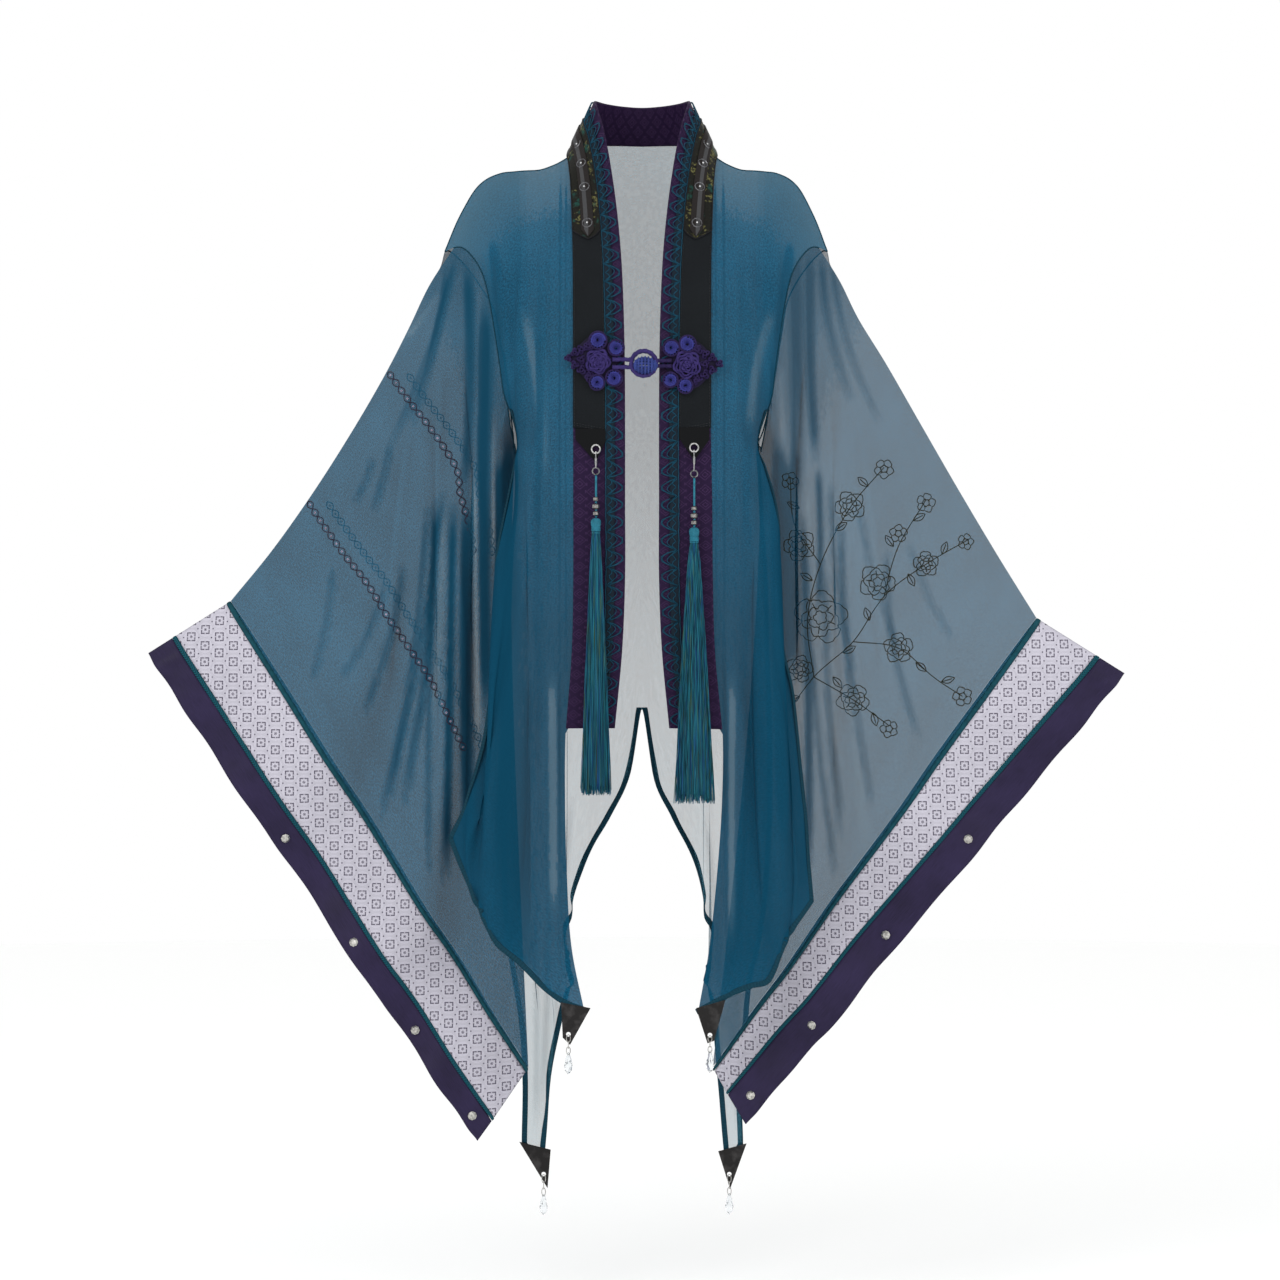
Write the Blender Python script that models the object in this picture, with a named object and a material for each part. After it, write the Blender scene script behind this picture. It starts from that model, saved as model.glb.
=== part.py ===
"""Haori: a sheer open robe with brocade cuffs, a long collar, a corded frog closure and two tassels.

Metres, +Z up. The front faces -Y and the viewer's right is +X. The origin lies between the
shoulders, at the height of the neck, where the wearer carries the robe. Sizes below are in
millimetres. A table gives one side, with x counted outwards from the middle.
"""

import math
from collections import namedtuple

import bmesh
import bpy
from mathutils import Matrix, Vector

MM = 0.001
SIDES = {"left": -1, "right": 1}

# Wall thicknesses and the gap that parts two pieces at a seam
CHIFFON = 1.2
SEAM_GAP = 0.3
CREASE_GAP = 0.8
# A slanting direction that orders a seam's points, so that both pieces cut their edges alike
SEAM_ORDER = Vector((0.37, 0.71, 0.59))

# How a shoulder's hump leans outwards, and how soon a sleeve leaves its armhole's own line
SHOULDER_BEND = 1.8
SLEEVE_SETTLES = 0.38

# Steps of the cloth's rows and columns
ARM_STEPS = 10
LOWER_ROWS = (0.05, 0.16, 0.28, 0.40, 0.53, 0.65, 0.77, 0.89, 1.0)
COLLAR_END = 15
FRONT_COLUMNS = 9
NECK_COLUMNS = 4
NECK_SHARE = 0.45
SLEEVE_ROWS = 7
SLEEVE_ROW_EASE = 1.15
FOLD_CLOSENESS = 0.45
HALF_RING = 2 * ARM_STEPS + 2

# The right half is a little narrower than the left, as the robe hangs
OUTER_SHARE = {"left": 1.0, "right": 0.94}

# A front from shoulder seam to underarm: its collar edge and its armhole edge, row by row
FrontStep = namedtuple("FrontStep", "step in_x in_y in_z out_x out_y out_z hump")
FRONT_TOP = (
    FrontStep(0, 90, -14, 8, 245, -14, -110, 50),
    FrontStep(2, 88, -46, -20, 222, -36, -108, 38),
    FrontStep(4, 86.5, -72, -62, 196, -60, -144, 24),
    FrontStep(6, 84.5, -98, -130, 181, -74, -215, 10),
    FrontStep(8, 84, -113, -220, 170, -62, -290, 3),
    FrontStep(10, 84, -118, -310, 159, -14, -352, 0),
)

# A front below the underarm, by how far it has dropped below the shoulders
FrontDrop = namedtuple("FrontDrop", "drop in_x in_y out_x out_y")
FRONT_DROP = {
    "left": (
        FrontDrop(310, 84, -118, 159, -14),
        FrontDrop(352, 84, -117, 159, -14),
        FrontDrop(372, 84, -116, 162, -54),
        FrontDrop(400, 84, -115, 166, -60),
        FrontDrop(450, 84, -114, 173, -60),
        FrontDrop(590, 85, -111, 191, -62),
        FrontDrop(702, 93, -108, 204, -66),
        FrontDrop(775, 94, -106, 215, -66),
        FrontDrop(838, 93, -105, 244, -62),
        FrontDrop(920, 90, -104, 236, -66),
        FrontDrop(985, 84, -104, 222, -70),
        FrontDrop(1050, 70, -104, 210, -74),
    ),
    "right": (
        FrontDrop(310, 84, -118, 150, -14),
        FrontDrop(352, 84, -117, 150, -14),
        FrontDrop(372, 84, -116, 154, -54),
        FrontDrop(400, 85, -115, 159, -60),
        FrontDrop(450, 86, -114, 167, -60),
        FrontDrop(590, 88, -111, 182, -62),
        FrontDrop(702, 98, -108, 195, -66),
        FrontDrop(775, 98, -106, 203, -68),
        FrontDrop(838, 95, -105, 208, -70),
        FrontDrop(916, 88, -104, 215, -72),
        FrontDrop(985, 80, -104, 205, -74),
        FrontDrop(1052, 68, -104, 195, -76),
    ),
}
Hem = namedtuple("Hem", "share drop")
FRONT_HEM = {
    "left": (
        Hem(0, 1050),
        Hem(0.18, 1041),
        Hem(0.34, 1020),
        Hem(0.45, 990),
        Hem(0.67, 948),
        Hem(0.89, 905),
        Hem(1, 838),
    ),
    "right": (
        Hem(0, 1052),
        Hem(0.22, 1036),
        Hem(0.56, 1012),
        Hem(0.67, 975),
        Hem(0.89, 945),
        Hem(1, 916),
    ),
}

UNDERARM_X, UNDERARM_Z = 159, -358

# The back from the shoulder blades to the underarm, then by its drop
BackStep = namedtuple("BackStep", "step mid_y mid_z out_x out_y out_z hump")
BACK_TOP = (
    BackStep(5, 98, -125, 186, 74, -205, 12),
    BackStep(7.5, 100, -230, 170, 62, -290, 4),
    BackStep(10, 97, -330, 159, 16, -352, 0),
)

# How the back leaves its top edge, at the neck and at the shoulder, and reaches the blades
TopRise = namedtuple("TopRise", "neck shoulder")
BACK_RISE_Y, BACK_RISE_Z = TopRise(16, 34), TopRise(-12, 16)
BACK_FALL = Vector((0, -8, 55))

BackDrop = namedtuple("BackDrop", "drop mid_y left_x right_x out_y")
BACK_DROP = (
    BackDrop(330, 97, 159, 150, 16),
    BackDrop(352, 97, 159, 150, 16),
    BackDrop(372, 97, 160, 151, 56),
    BackDrop(400, 96, 161, 152, 62),
    BackDrop(450, 94, 166, 156, 66),
    BackDrop(590, 91, 173, 162, 72),
    BackDrop(800, 88, 177, 166, 78),
    BackDrop(1000, 86, 174, 152, 76),
    BackDrop(1060, 85, 156, 138, 76),
    BackDrop(1090, 85, 146, 134, 80),
    BackDrop(1140, 85, 153, 128, 84),
    BackDrop(1280, 85, 153, 130, 84),
)
BACK_HEM = (
    Hem(0, 682),
    Hem(0.12, 772),
    Hem(0.236, 823),
    Hem(0.38, 882),
    Hem(0.527, 966),
    Hem(0.694, 1064),
    Hem(0.756, 1155),
    Hem(0.817, 1262),
    Hem(0.878, 1256),
    Hem(0.939, 1248),
    Hem(1, 1236),
)

# Folds: where a flute's crest lies across the cloth, how wide, how deep, how far it leans, from where
Flute = namedtuple("Flute", "centre width depth lean start")
FRONT_FLUTES = {
    "left": (
        Flute(0.56, 0.24, -8, 14, 0.36),
        Flute(0.90, 0.20, -12, -10, 0.58),
    ),
    "right": (
        Flute(0.58, 0.24, -8, 12, 0.38),
        Flute(0.90, 0.20, -12, -8, 0.58),
    ),
}
BACK_FLUTES = (
    Flute(-0.62, 0.14, 15, 8, 0.40),
    Flute(-0.38, 0.13, 11, -6, 0.30),
    Flute(-0.13, 0.12, 9, 5, 0.26),
    Flute(0.13, 0.12, 10, -5, 0.26),
    Flute(0.38, 0.13, 12, 6, 0.30),
    Flute(0.62, 0.14, 15, -8, 0.40),
)
SLEEVE_FLUTES = {
    "left": (
        Flute(0.30, 0.12, -10, 6, 0.20),
        Flute(0.47, 0.11, 14, -8, 0.24),
        Flute(0.63, 0.11, -16, 12, 0.16),
        Flute(0.78, 0.10, 14, -6, 0.20),
        Flute(0.88, 0.10, -6, 2, 0.35),
    ),
    "right": (
        Flute(0.26, 0.12, 9, 6, 0.24),
        Flute(0.44, 0.12, -14, -9, 0.20),
        Flute(0.61, 0.10, 13, 8, 0.18),
        Flute(0.76, 0.10, -15, 10, 0.16),
        Flute(0.88, 0.10, 6, 0, 0.35),
    ),
}

# Sleeves from armhole to cuff: the fold over the arm, the closed underside, and half the depth
SleeveRow = namedtuple("SleeveRow", "along top_x top_y top_z low_x low_y low_z arm hang")
SLEEVE_TABLE = {
    "left": (
        SleeveRow(0.0, 245, -14, -110, 159, 0, -358, 74, 22),
        SleeveRow(0.2, 283, -8, -190, 164, 2, -480, 62, 22),
        SleeveRow(0.4, 326, -10, -274, 163, 4, -625, 55, 24),
        SleeveRow(0.6, 384, -12, -371, 158, 6, -780, 50, 22),
        SleeveRow(0.8, 448, -14, -466, 151, 8, -950, 44, 22),
        SleeveRow(1.0, 512, -16, -546, 143, 10, -1130, 36, 24),
    ),
    "right": (
        SleeveRow(0.0, 230, -14, -110, 150, 0, -358, 74, 22),
        SleeveRow(0.2, 262, -8, -180, 147, 2, -480, 62, 22),
        SleeveRow(0.4, 310, -10, -260, 139, 4, -625, 55, 24),
        SleeveRow(0.6, 368, -12, -362, 126, 6, -780, 50, 22),
        SleeveRow(0.8, 430, -14, -468, 109, 8, -950, 44, 22),
        SleeveRow(1.0, 491, -16, -567, 89, 10, -1130, 36, 24),
    ),
}

# Cuffs: the rim's two ends, how far the low end curls forward, and where the braid runs across
Cuff = namedtuple("Cuff", "top_x top_z low_x low_z curl braid_top braid_low")
CUFFS = {
    "left": Cuff(615, -611, 205, -1216, -40, 0.66, 0.66),
    "right": Cuff(601, -636, 129, -1194, -52, 0.67, 0.40),
}
PIPING_SHARE = 0.055
BRAID_SHARE = 0.05
CUFF_WALLS = {"piping": 2.0, "brocade": 1.6, "braid": 2.4, "band": 1.8}

# Collar: its inner edge beside each row of the front, and beside the columns round the neck
CollarStation = namedtuple("CollarStation", "station x y z")
COLLAR_INNER = (
    CollarStation(0, 0, 64, 80),
    CollarStation(1, 25, 59, 81),
    CollarStation(2, 45, 43, 82),
    CollarStation(3, 58, 18, 82),
    CollarStation(4, 57, -8, 74),
    CollarStation(5, 49, -30, 46),
    CollarStation(6, 42, -51, 12),
    CollarStation(8, 32, -80, -55),
    CollarStation(10, 25, -106, -130),
    CollarStation(12, 21.5, -119, -220),
    CollarStation(14, 20.5, -121, -310),
    CollarStation(16, 20.5, -117, -428),
    CollarStation(17, 20.5, -114, -517),
    CollarStation(18, 24, -111, -606),
    CollarStation(19, 33, -108, -702),
)
NECK_EDGE = (
    CollarStation(0, 0, 82, 33),
    CollarStation(1, 36, 76, 33),
    CollarStation(2, 66, 55, 30),
    CollarStation(3, 84, 22, 23),
    CollarStation(4, 90, -14, 8),
)
COLLAR_LAST = NECK_COLUMNS + COLLAR_END
COLLAR_WALL = 2.0
COLLAR_ACROSS = (0.0, 0.20, 0.38, 0.52, 0.80, 1.0)

# What lies on the collar: the lifts of its inner and outer face, and its stretch
Strip = namedtuple("Strip", "across low high end")
LACE = Strip((0.20, 0.38), 1.3, 2.3, COLLAR_LAST)
STRAP = Strip((0.38, 0.52, 0.80, 1.0), 1.3, 2.5, 14.5)
NECK_PATCH = Strip((0.38, 0.52, 0.80, 1.0), 2.8, 3.8, 9.0)
NECK_TAPE = Strip((0.52, 0.80), 4.1, 5.1, 9.0)
STRIP_INSET = 0.008
PATCH_POINT = 0.32
POINT_WIDTH = 0.03
MIDDLE_ACROSS = 0.66

# Metal, cord, leather and crystal
EYELET_OUTER, EYELET_HOLE = 6.8, 4.0
RING_RADIUS, RING_WIRE, RING_GAP = 6.0, 0.75, 0.4
RING_STATIONS = (8.75, 7.2, 5.9, 4.6)
STUD_RADIUS, STUD_HEIGHT = 5.7, 2.6

Colour = namedtuple("Colour", "red green blue roughness metallic")
COLOURS = {
    "chiffon": Colour(0.02, 0.11, 0.18, 0.8, 0),
    "piping": Colour(0.01, 0.05, 0.08, 0.8, 0),
    "brocade": Colour(0.55, 0.50, 0.58, 0.7, 0),
    "braid": Colour(0.01, 0.08, 0.11, 0.8, 0),
    "satin": Colour(0.02, 0.012, 0.03, 0.45, 0),
    "damask": Colour(0.03, 0.01, 0.035, 0.6, 0),
    "twill": Colour(0.012, 0.012, 0.014, 0.9, 0),
    "lace": Colour(0.01, 0.06, 0.09, 0.9, 0),
    "gold_brocade": Colour(0.10, 0.10, 0.04, 0.7, 0),
    "tape": Colour(0.16, 0.17, 0.18, 0.8, 0),
    "steel": Colour(0.55, 0.55, 0.55, 0.3, 1),
    "cord": Colour(0.05, 0.03, 0.09, 0.7, 0),
    "tassel": Colour(0.01, 0.10, 0.16, 0.5, 0),
    "bead": Colour(0.20, 0.19, 0.17, 0.4, 1),
    "leather": Colour(0.012, 0.010, 0.009, 0.6, 0),
    "crystal": Colour(0.85, 0.88, 0.9, 0.05, 0),
}


def between(start, end, share):
    return start + (end - start) * share


def eased(share):
    share = min(max(share, 0.0), 1.0)
    return share * share * (3 - 2 * share)


def row_at(table, where):
    """The table's row at this value of its first column, on a smooth curve through its rows."""
    keys = [row[0] for row in table]
    where = min(max(where, keys[0]), keys[-1])
    here = max(i for i, key in enumerate(keys[:-1]) if key <= where)
    step = keys[here + 1] - keys[here]
    share = (where - keys[here]) / step

    def slope(i, column):
        before, after = max(i - 1, 0), min(i + 1, len(table) - 1)
        return (table[after][column] - table[before][column]) / (keys[after] - keys[before])

    values = [where]
    for column in range(1, len(table[0])):
        start, end = table[here][column], table[here + 1][column]
        leave, arrive = slope(here, column) * step, slope(here + 1, column) * step
        values.append(
            start
            + leave * share
            + (3 * (end - start) - 2 * leave - arrive) * share**2
            + (2 * (start - end) + leave + arrive) * share**3
        )
    return type(table[0])(*values)


def hem_drop(table, share):
    """How far down the cloth reaches at this share across, straight from point to point."""
    for first, last in zip(table, table[1:]):
        if share <= last.share:
            return between(
                first.drop, last.drop, (share - first.share) / (last.share - first.share)
            )
    return table[-1].drop


def flute_shift(flutes, share, down):
    """Sideways and depth shift of the cloth where folds run down it."""
    lean = depth = 0.0
    for flute in flutes:
        away = abs(share - flute.centre) / flute.width
        if away < 1:
            crest = 0.5 + 0.5 * math.cos(math.pi * away)
            crest *= eased((down - flute.start) / (1 - flute.start))
            lean += flute.lean * crest
            depth += flute.depth * crest
    return lean, depth


# Cloth surfaces


def front_point(side, share, row):
    """Point of a front: share runs from its collar edge to its armhole edge, row downwards."""
    spread = 1
    bend = math.sqrt(max(0.0, 1 - share * share))
    if row <= ARM_STEPS:
        place = row_at(FRONT_TOP, row)
        spread = OUTER_SHARE[side]
        z = between(place.in_z, place.out_z, share)
        z += place.hump * math.sin(math.pi * share**SHOULDER_BEND)
    else:
        top = between(FRONT_TOP[-1].in_z, FRONT_TOP[-1].out_z, share)
        z = between(top, -hem_drop(FRONT_HEM[side], share), lower_share(row))
        place = row_at(FRONT_DROP[side], -z)
    x = between(place.in_x, place.out_x * spread, share)
    y = between(place.out_y, place.in_y, bend)
    down = row / (ARM_STEPS + len(LOWER_ROWS))
    lean, depth = flute_shift(FRONT_FLUTES[side], share, down)
    return Vector((SIDES[side] * (x + lean), y + depth, z))


def lower_share(row):
    """How far a row below the underarm lies on the way to the hem."""
    shares = (0.0,) + LOWER_ROWS
    here = min(int(row) - ARM_STEPS, len(LOWER_ROWS) - 1)
    return between(shares[here], shares[here + 1], row - ARM_STEPS - here)


def back_edge(share):
    """The back's top edge: round the neck, then along the shoulder seam."""
    size = abs(share)
    side = "left" if share < 0 else "right"
    if size > NECK_SHARE:
        return front_point(side, (size - NECK_SHARE) / (1 - NECK_SHARE), 0)
    edge = row_at(NECK_EDGE, size / NECK_SHARE * NECK_COLUMNS)
    return Vector((SIDES[side] * edge.x, edge.y, edge.z))


def back_sheet(share, row):
    """Point of the back from the shoulder blades down."""
    size = abs(share)
    side = "left" if share < 0 else "right"
    bend = math.sqrt(max(0.0, 1 - size * size))
    if row <= ARM_STEPS:
        place = row_at(BACK_TOP, row)
        out_x = place.out_x * OUTER_SHARE[side]
        z = between(place.mid_z, place.out_z, size)
        z += place.hump * math.sin(math.pi * size**SHOULDER_BEND)
    else:
        top = between(BACK_TOP[-1].mid_z, BACK_TOP[-1].out_z, size)
        z = between(top, -hem_drop(BACK_HEM, size), lower_share(row))
        place = row_at(BACK_DROP, -z)
        out_x = place.left_x if side == "left" else place.right_x
    x = out_x * share
    y = between(place.out_y, place.mid_y, bend)
    down = row / (ARM_STEPS + len(LOWER_ROWS))
    lean, depth = flute_shift(BACK_FLUTES, share, down)
    return Vector((x + lean, y + depth, z))


def back_point(share, row):
    """Point of the back: share runs from -1 at the left edge to 1, row downwards."""
    blades = BACK_TOP[0].step
    if row >= blades:
        return back_sheet(share, row)
    start, end = back_edge(share), back_sheet(share, blades)
    over = min(abs(share) / NECK_SHARE, 1)
    rise = Vector((0, between(*BACK_RISE_Y, over), between(*BACK_RISE_Z, over)))
    along = row / blades
    return (
        start * (1 - along) ** 3
        + (start + rise) * 3 * along * (1 - along) ** 2
        + (end + BACK_FALL) * 3 * along**2 * (1 - along)
        + end * along**3
    )


def ring_share(step):
    """How far down the sleeve a step of its ring lies, closer together at both folds."""
    share = step / HALF_RING
    return between(share, 0.5 - 0.5 * math.cos(math.pi * share), FOLD_CLOSENESS)


def armhole_point(side, step, layer):
    """Point of the armhole that both panels and the sleeve share."""
    under = Vector((SIDES[side] * UNDERARM_X * OUTER_SHARE[side], 0, UNDERARM_Z))

    def panel(row):
        if layer < 0:
            return front_point(side, 1, row)
        return back_point(SIDES[side], row)

    row = step / 2
    if row >= ARM_STEPS:
        return between(panel(ARM_STEPS), under, (row - ARM_STEPS))
    whole = int(row)
    return between(panel(whole), panel(whole + 1), row - whole)


def sleeve_sheet(side, along, step, layer):
    share = ring_share(step)
    row = row_at(SLEEVE_TABLE[side], along)
    lean, depth = flute_shift(SLEEVE_FLUTES[side], share, along)
    length = math.hypot(row.top_x - row.low_x, row.top_z - row.low_z)
    shifted = share + lean / length
    half = between(row.arm, row.hang, eased(share * 1.6))
    half *= max(0.0, math.sin(math.pi * share)) ** 0.5
    return Vector(
        (
            SIDES[side] * between(row.top_x, row.low_x, shifted),
            between(row.top_y, row.low_y, share) + layer * half + depth,
            between(row.top_z, row.low_z, shifted),
        )
    )


def sleeve_point(side, along, step, layer):
    """Point of a sleeve: along runs from armhole to cuff, step from the arm fold down."""
    point = sleeve_sheet(side, along, step, layer)
    blend = max(0.0, 1 - along / SLEEVE_SETTLES) ** 2
    if blend:
        start = sleeve_sheet(side, 0, step, layer)
        point += (armhole_point(side, step, layer) - start) * blend
    return point


def cuff_point(side, across, step, layer):
    """Point of a cuff: across runs from the sleeve's end to the rim."""
    seam = sleeve_point(side, 1, step, layer)
    share = ring_share(step)
    row, cuff = SLEEVE_TABLE[side][-1], CUFFS[side]
    out_x = between(cuff.top_x - row.top_x, cuff.low_x - row.low_x, share)
    out_z = between(cuff.top_z - row.top_z, cuff.low_z - row.low_z, share)
    curl = cuff.curl * share**2 * eased(across * 1.4)
    open_out = layer * 6 * across * max(0.0, math.sin(math.pi * share)) ** 0.5
    return seam + Vector((SIDES[side] * out_x * across, curl + open_out, out_z * across))


def collar_edges(station):
    """Inner and outer edge of the collar at a whole station, counted from the back's middle."""
    side = "left" if station < 0 else "right"
    size = abs(station)
    inner = row_at(COLLAR_INNER, size)
    inner = Vector((SIDES[side] * inner.x, inner.y, inner.z))
    if size <= NECK_COLUMNS:
        sign = SIDES[side]
        return inner, back_edge(sign * size / NECK_COLUMNS * NECK_SHARE)
    return inner, front_point(side, 0, size - NECK_COLUMNS)


# Cloth grids: rows of points, whether the columns close into a ring, and which way it faces

Cloth = namedtuple("Cloth", "name grid thick ring flip slot")


def ring_steps():
    """Each step round a sleeve, from the arm fold down the front and up the back."""
    front = [(step, -1) for step in range(HALF_RING + 1)]
    return front + [(step, 1) for step in range(HALF_RING - 1, 0, -1)]


def front_cloth(side):
    rows = range(ARM_STEPS + len(LOWER_ROWS) + 1)
    grid = [
        [front_point(side, column / FRONT_COLUMNS, row) for column in range(FRONT_COLUMNS + 1)]
        for row in rows
    ]
    return Cloth("front_" + side, grid, CHIFFON, False, side == "right", "chiffon")


def back_shares():
    neck = [NECK_SHARE * k / NECK_COLUMNS for k in range(NECK_COLUMNS)]
    shoulder = [
        between(NECK_SHARE, 1, k / FRONT_COLUMNS) for k in range(FRONT_COLUMNS + 1)
    ]
    half = neck + shoulder
    return [-share for share in reversed(half[1:])] + half


def back_cloth():
    rows = range(ARM_STEPS + len(LOWER_ROWS) + 1)
    grid = [[back_point(share, row) for share in back_shares()] for row in rows]
    return Cloth("back", grid, CHIFFON, False, False, "chiffon")


def sleeve_cloth(side):
    grid = [
        [sleeve_point(side, along, step, layer) for step, layer in ring_steps()]
        for along in ((row / SLEEVE_ROWS) ** SLEEVE_ROW_EASE for row in range(SLEEVE_ROWS + 1))
    ]
    return Cloth("sleeve_" + side, grid, CHIFFON, True, side == "left", "chiffon")


def cuff_cloths(side):
    """The four bands of a cuff, from the sleeve's end to the rim."""
    cuff = CUFFS[side]

    def ring(place):
        points = []
        for step, layer in ring_steps():
            braid = between(cuff.braid_top, cuff.braid_low, ring_share(step))
            marks = (0, PIPING_SHARE, (PIPING_SHARE + braid) / 2, braid, braid + BRAID_SHARE, 1)
            points.append(cuff_point(side, marks[place], step, layer))
        return points

    bands = (
        ("piping", (0, 1), "piping"),
        ("brocade", (1, 2, 3), "brocade"),
        ("braid", (3, 4), "braid"),
        ("band", (4, 5), "satin"),
    )
    for name, places, slot in bands:
        grid = [ring(place) for place in places]
        thick = CUFF_WALLS[name]
        yield Cloth(f"cuff_{name}_{side}", grid, thick, True, side == "left", slot)


def collar_cloth():
    grid = []
    for station in range(-COLLAR_LAST, COLLAR_LAST + 1):
        inner, outer = collar_edges(station)
        grid.append([inner.lerp(outer, across) for across in COLLAR_ACROSS])
    return Cloth("collar_base", grid, COLLAR_WALL, False, True, "damask")


def key_of(point):
    return tuple(round(value, 2) for value in point)


def cells(grid, ring):
    """The corner indices of every cell of a grid."""
    columns = len(grid[0])
    for row in range(len(grid) - 1):
        for column in range(columns if ring else columns - 1):
            after = (column + 1) % columns
            yield (row, column), (row, after), (row + 1, after), (row + 1, column)


def shared_normals(cloths):
    """One outward direction for each point, shared by all the pieces that meet there."""
    normals = {}
    for cloth in cloths:
        for cell in cells(cloth.grid, cloth.ring):
            a, b, c, d = (cloth.grid[row][column] for row, column in cell)
            facing = (c - a).cross(d - b)
            if cloth.flip:
                facing.negate()
            if facing.length > 1e-6:
                facing.normalize()
            for point in (a, b, c, d):
                key = key_of(point)
                normals[key] = normals.get(key, Vector()) + facing
    for normal in normals.values():
        normal.normalize()
    share_armhole_normals(normals)
    return normals


def share_armhole_normals(normals):
    """A sleeve has a point halfway between two rows of the panel, so it takes their mean."""
    for side in SIDES:
        for layer in (-1, 1):
            for step in range(1, 2 * ARM_STEPS, 2):
                before, here, after = (
                    key_of(armhole_point(side, near, layer)) for near in (step - 1, step, step + 1)
                )
                normals[here] = (normals[before] + normals[after]).normalized()


def parted(cloth, normals):
    """The grid with its edges drawn in by half the seam's gap, square to the seam."""
    grid = [list(row) for row in cloth.grid]

    def draw_in(line, inside):
        last = len(line) - 1
        for i, (row, column) in enumerate(line):
            point = cloth.grid[row][column]
            if cloth.ring:
                before, after = line[i - 1], line[(i + 1) % len(line)]
            else:
                before, after = line[max(i - 1, 0)], line[min(i + 1, last)]
            along = cloth.grid[after[0]][after[1]] - cloth.grid[before[0]][before[1]]
            inward = cloth.grid[inside[i][0]][inside[i][1]] - point
            across = along.cross(normals[key_of(point)]).normalized()
            if across.dot(inward) < 0:
                across.negate()
            gap = CREASE_GAP if cloth.ring and abs(column - HALF_RING) < 2 else SEAM_GAP
            grid[row][column] = grid[row][column] + across * gap / 2

    rows, columns = len(cloth.grid), len(cloth.grid[0])
    for row, near in ((0, 1), (rows - 1, rows - 2)):
        draw_in([(row, k) for k in range(columns)], [(near, k) for k in range(columns)])
    if not cloth.ring:
        for column, near in ((0, 1), (columns - 1, columns - 2)):
            draw_in([(k, column) for k in range(rows)], [(k, near) for k in range(rows)])
    return grid


# Meshes and materials


def material(slot):
    found = bpy.data.materials.get(slot)
    if found:
        return found
    made = bpy.data.materials.new(slot)
    made.use_nodes = True
    shader = made.node_tree.nodes["Principled BSDF"]
    colour = COLOURS[slot]
    shader.inputs["Base Color"].default_value = (colour.red, colour.green, colour.blue, 1)
    shader.inputs["Roughness"].default_value = colour.roughness
    shader.inputs["Metallic"].default_value = colour.metallic
    if slot == "crystal":
        shader.inputs["Transmission Weight"].default_value = 1
    return made


def object_of(name, bm, slot, pivot=None):
    """Ends a mesh that was built in millimetres and puts it in the scene, under its pivot if any."""
    bmesh.ops.scale(bm, vec=(MM, MM, MM), verts=bm.verts)
    mesh = bpy.data.meshes.new(name)
    bm.to_mesh(mesh)
    bm.free()
    mesh.shade_smooth()
    mesh.set_sharp_from_angle(angle=math.radians(40))
    mesh.materials.append(material(slot))
    made = bpy.data.objects.new(name, mesh)
    made.parent = pivot
    bpy.context.collection.objects.link(made)
    return made


def pivot_at(name, x, y, z):
    """An empty on the axis about which a hanging piece swings."""
    pivot = bpy.data.objects.new(name, None)
    pivot.location = Vector((x, y, z)) * MM
    bpy.context.collection.objects.link(pivot)
    return pivot


def add_wall(bm, outer, inner, ring, flip):
    """A closed wall between two grids of points, each cell cut along its shorter diagonal."""
    rows, columns = len(outer), len(outer[0])
    front = [[bm.verts.new(point) for point in row] for row in outer]
    behind = [[bm.verts.new(point) for point in row] for row in inner]

    def face(*corners):
        bm.faces.new(reversed(corners) if flip else corners)

    for a, b, c, d in cells(outer, ring):
        (pa, pb, pc, pd) = (outer[row][column] for row, column in (a, b, c, d))
        halves = ((a, b, c), (a, c, d))
        if (pa - pc).length > (pb - pd).length:
            halves = ((a, b, d), (b, c, d))
        for half in halves:
            face(*(front[row][column] for row, column in half))
            face(*(behind[row][column] for row, column in reversed(half)))

    def edge(start, end):
        """The wall's edge between two points, cut the same way by both pieces of a seam."""
        (first, last), (far, near) = (
            (table[start[0]][start[1]], table[end[0]][end[1]]) for table in (front, behind)
        )
        if first.co.dot(SEAM_ORDER) < last.co.dot(SEAM_ORDER):
            face(first, last, near)
            face(first, near, far)
        else:
            face(first, last, far)
            face(last, near, far)

    for column in range(columns if ring else columns - 1):
        after = (column + 1) % columns
        edge((0, after), (0, column))
        edge((rows - 1, column), (rows - 1, after))
    if ring:
        return
    for row in range(rows - 1):
        edge((row, 0), (row + 1, 0))
        edge((row + 1, columns - 1), (row, columns - 1))


def cloth_wall(cloth, normals):
    outer, inner = [], []
    creases = (0, HALF_RING) if cloth.ring else ()
    for points, line in zip(cloth.grid, parted(cloth, normals)):
        facing = []
        for column, point in enumerate(points):
            thick = CHIFFON if column in creases else cloth.thick
            facing.append(normals[key_of(point)] * thick / 2)
        outer.append([point + out for point, out in zip(line, facing)])
        inner.append([point - out for point, out in zip(line, facing)])
    bm = bmesh.new()
    add_wall(bm, outer, inner, cloth.ring, cloth.flip)
    return object_of(cloth.name, bm, cloth.slot)


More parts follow.
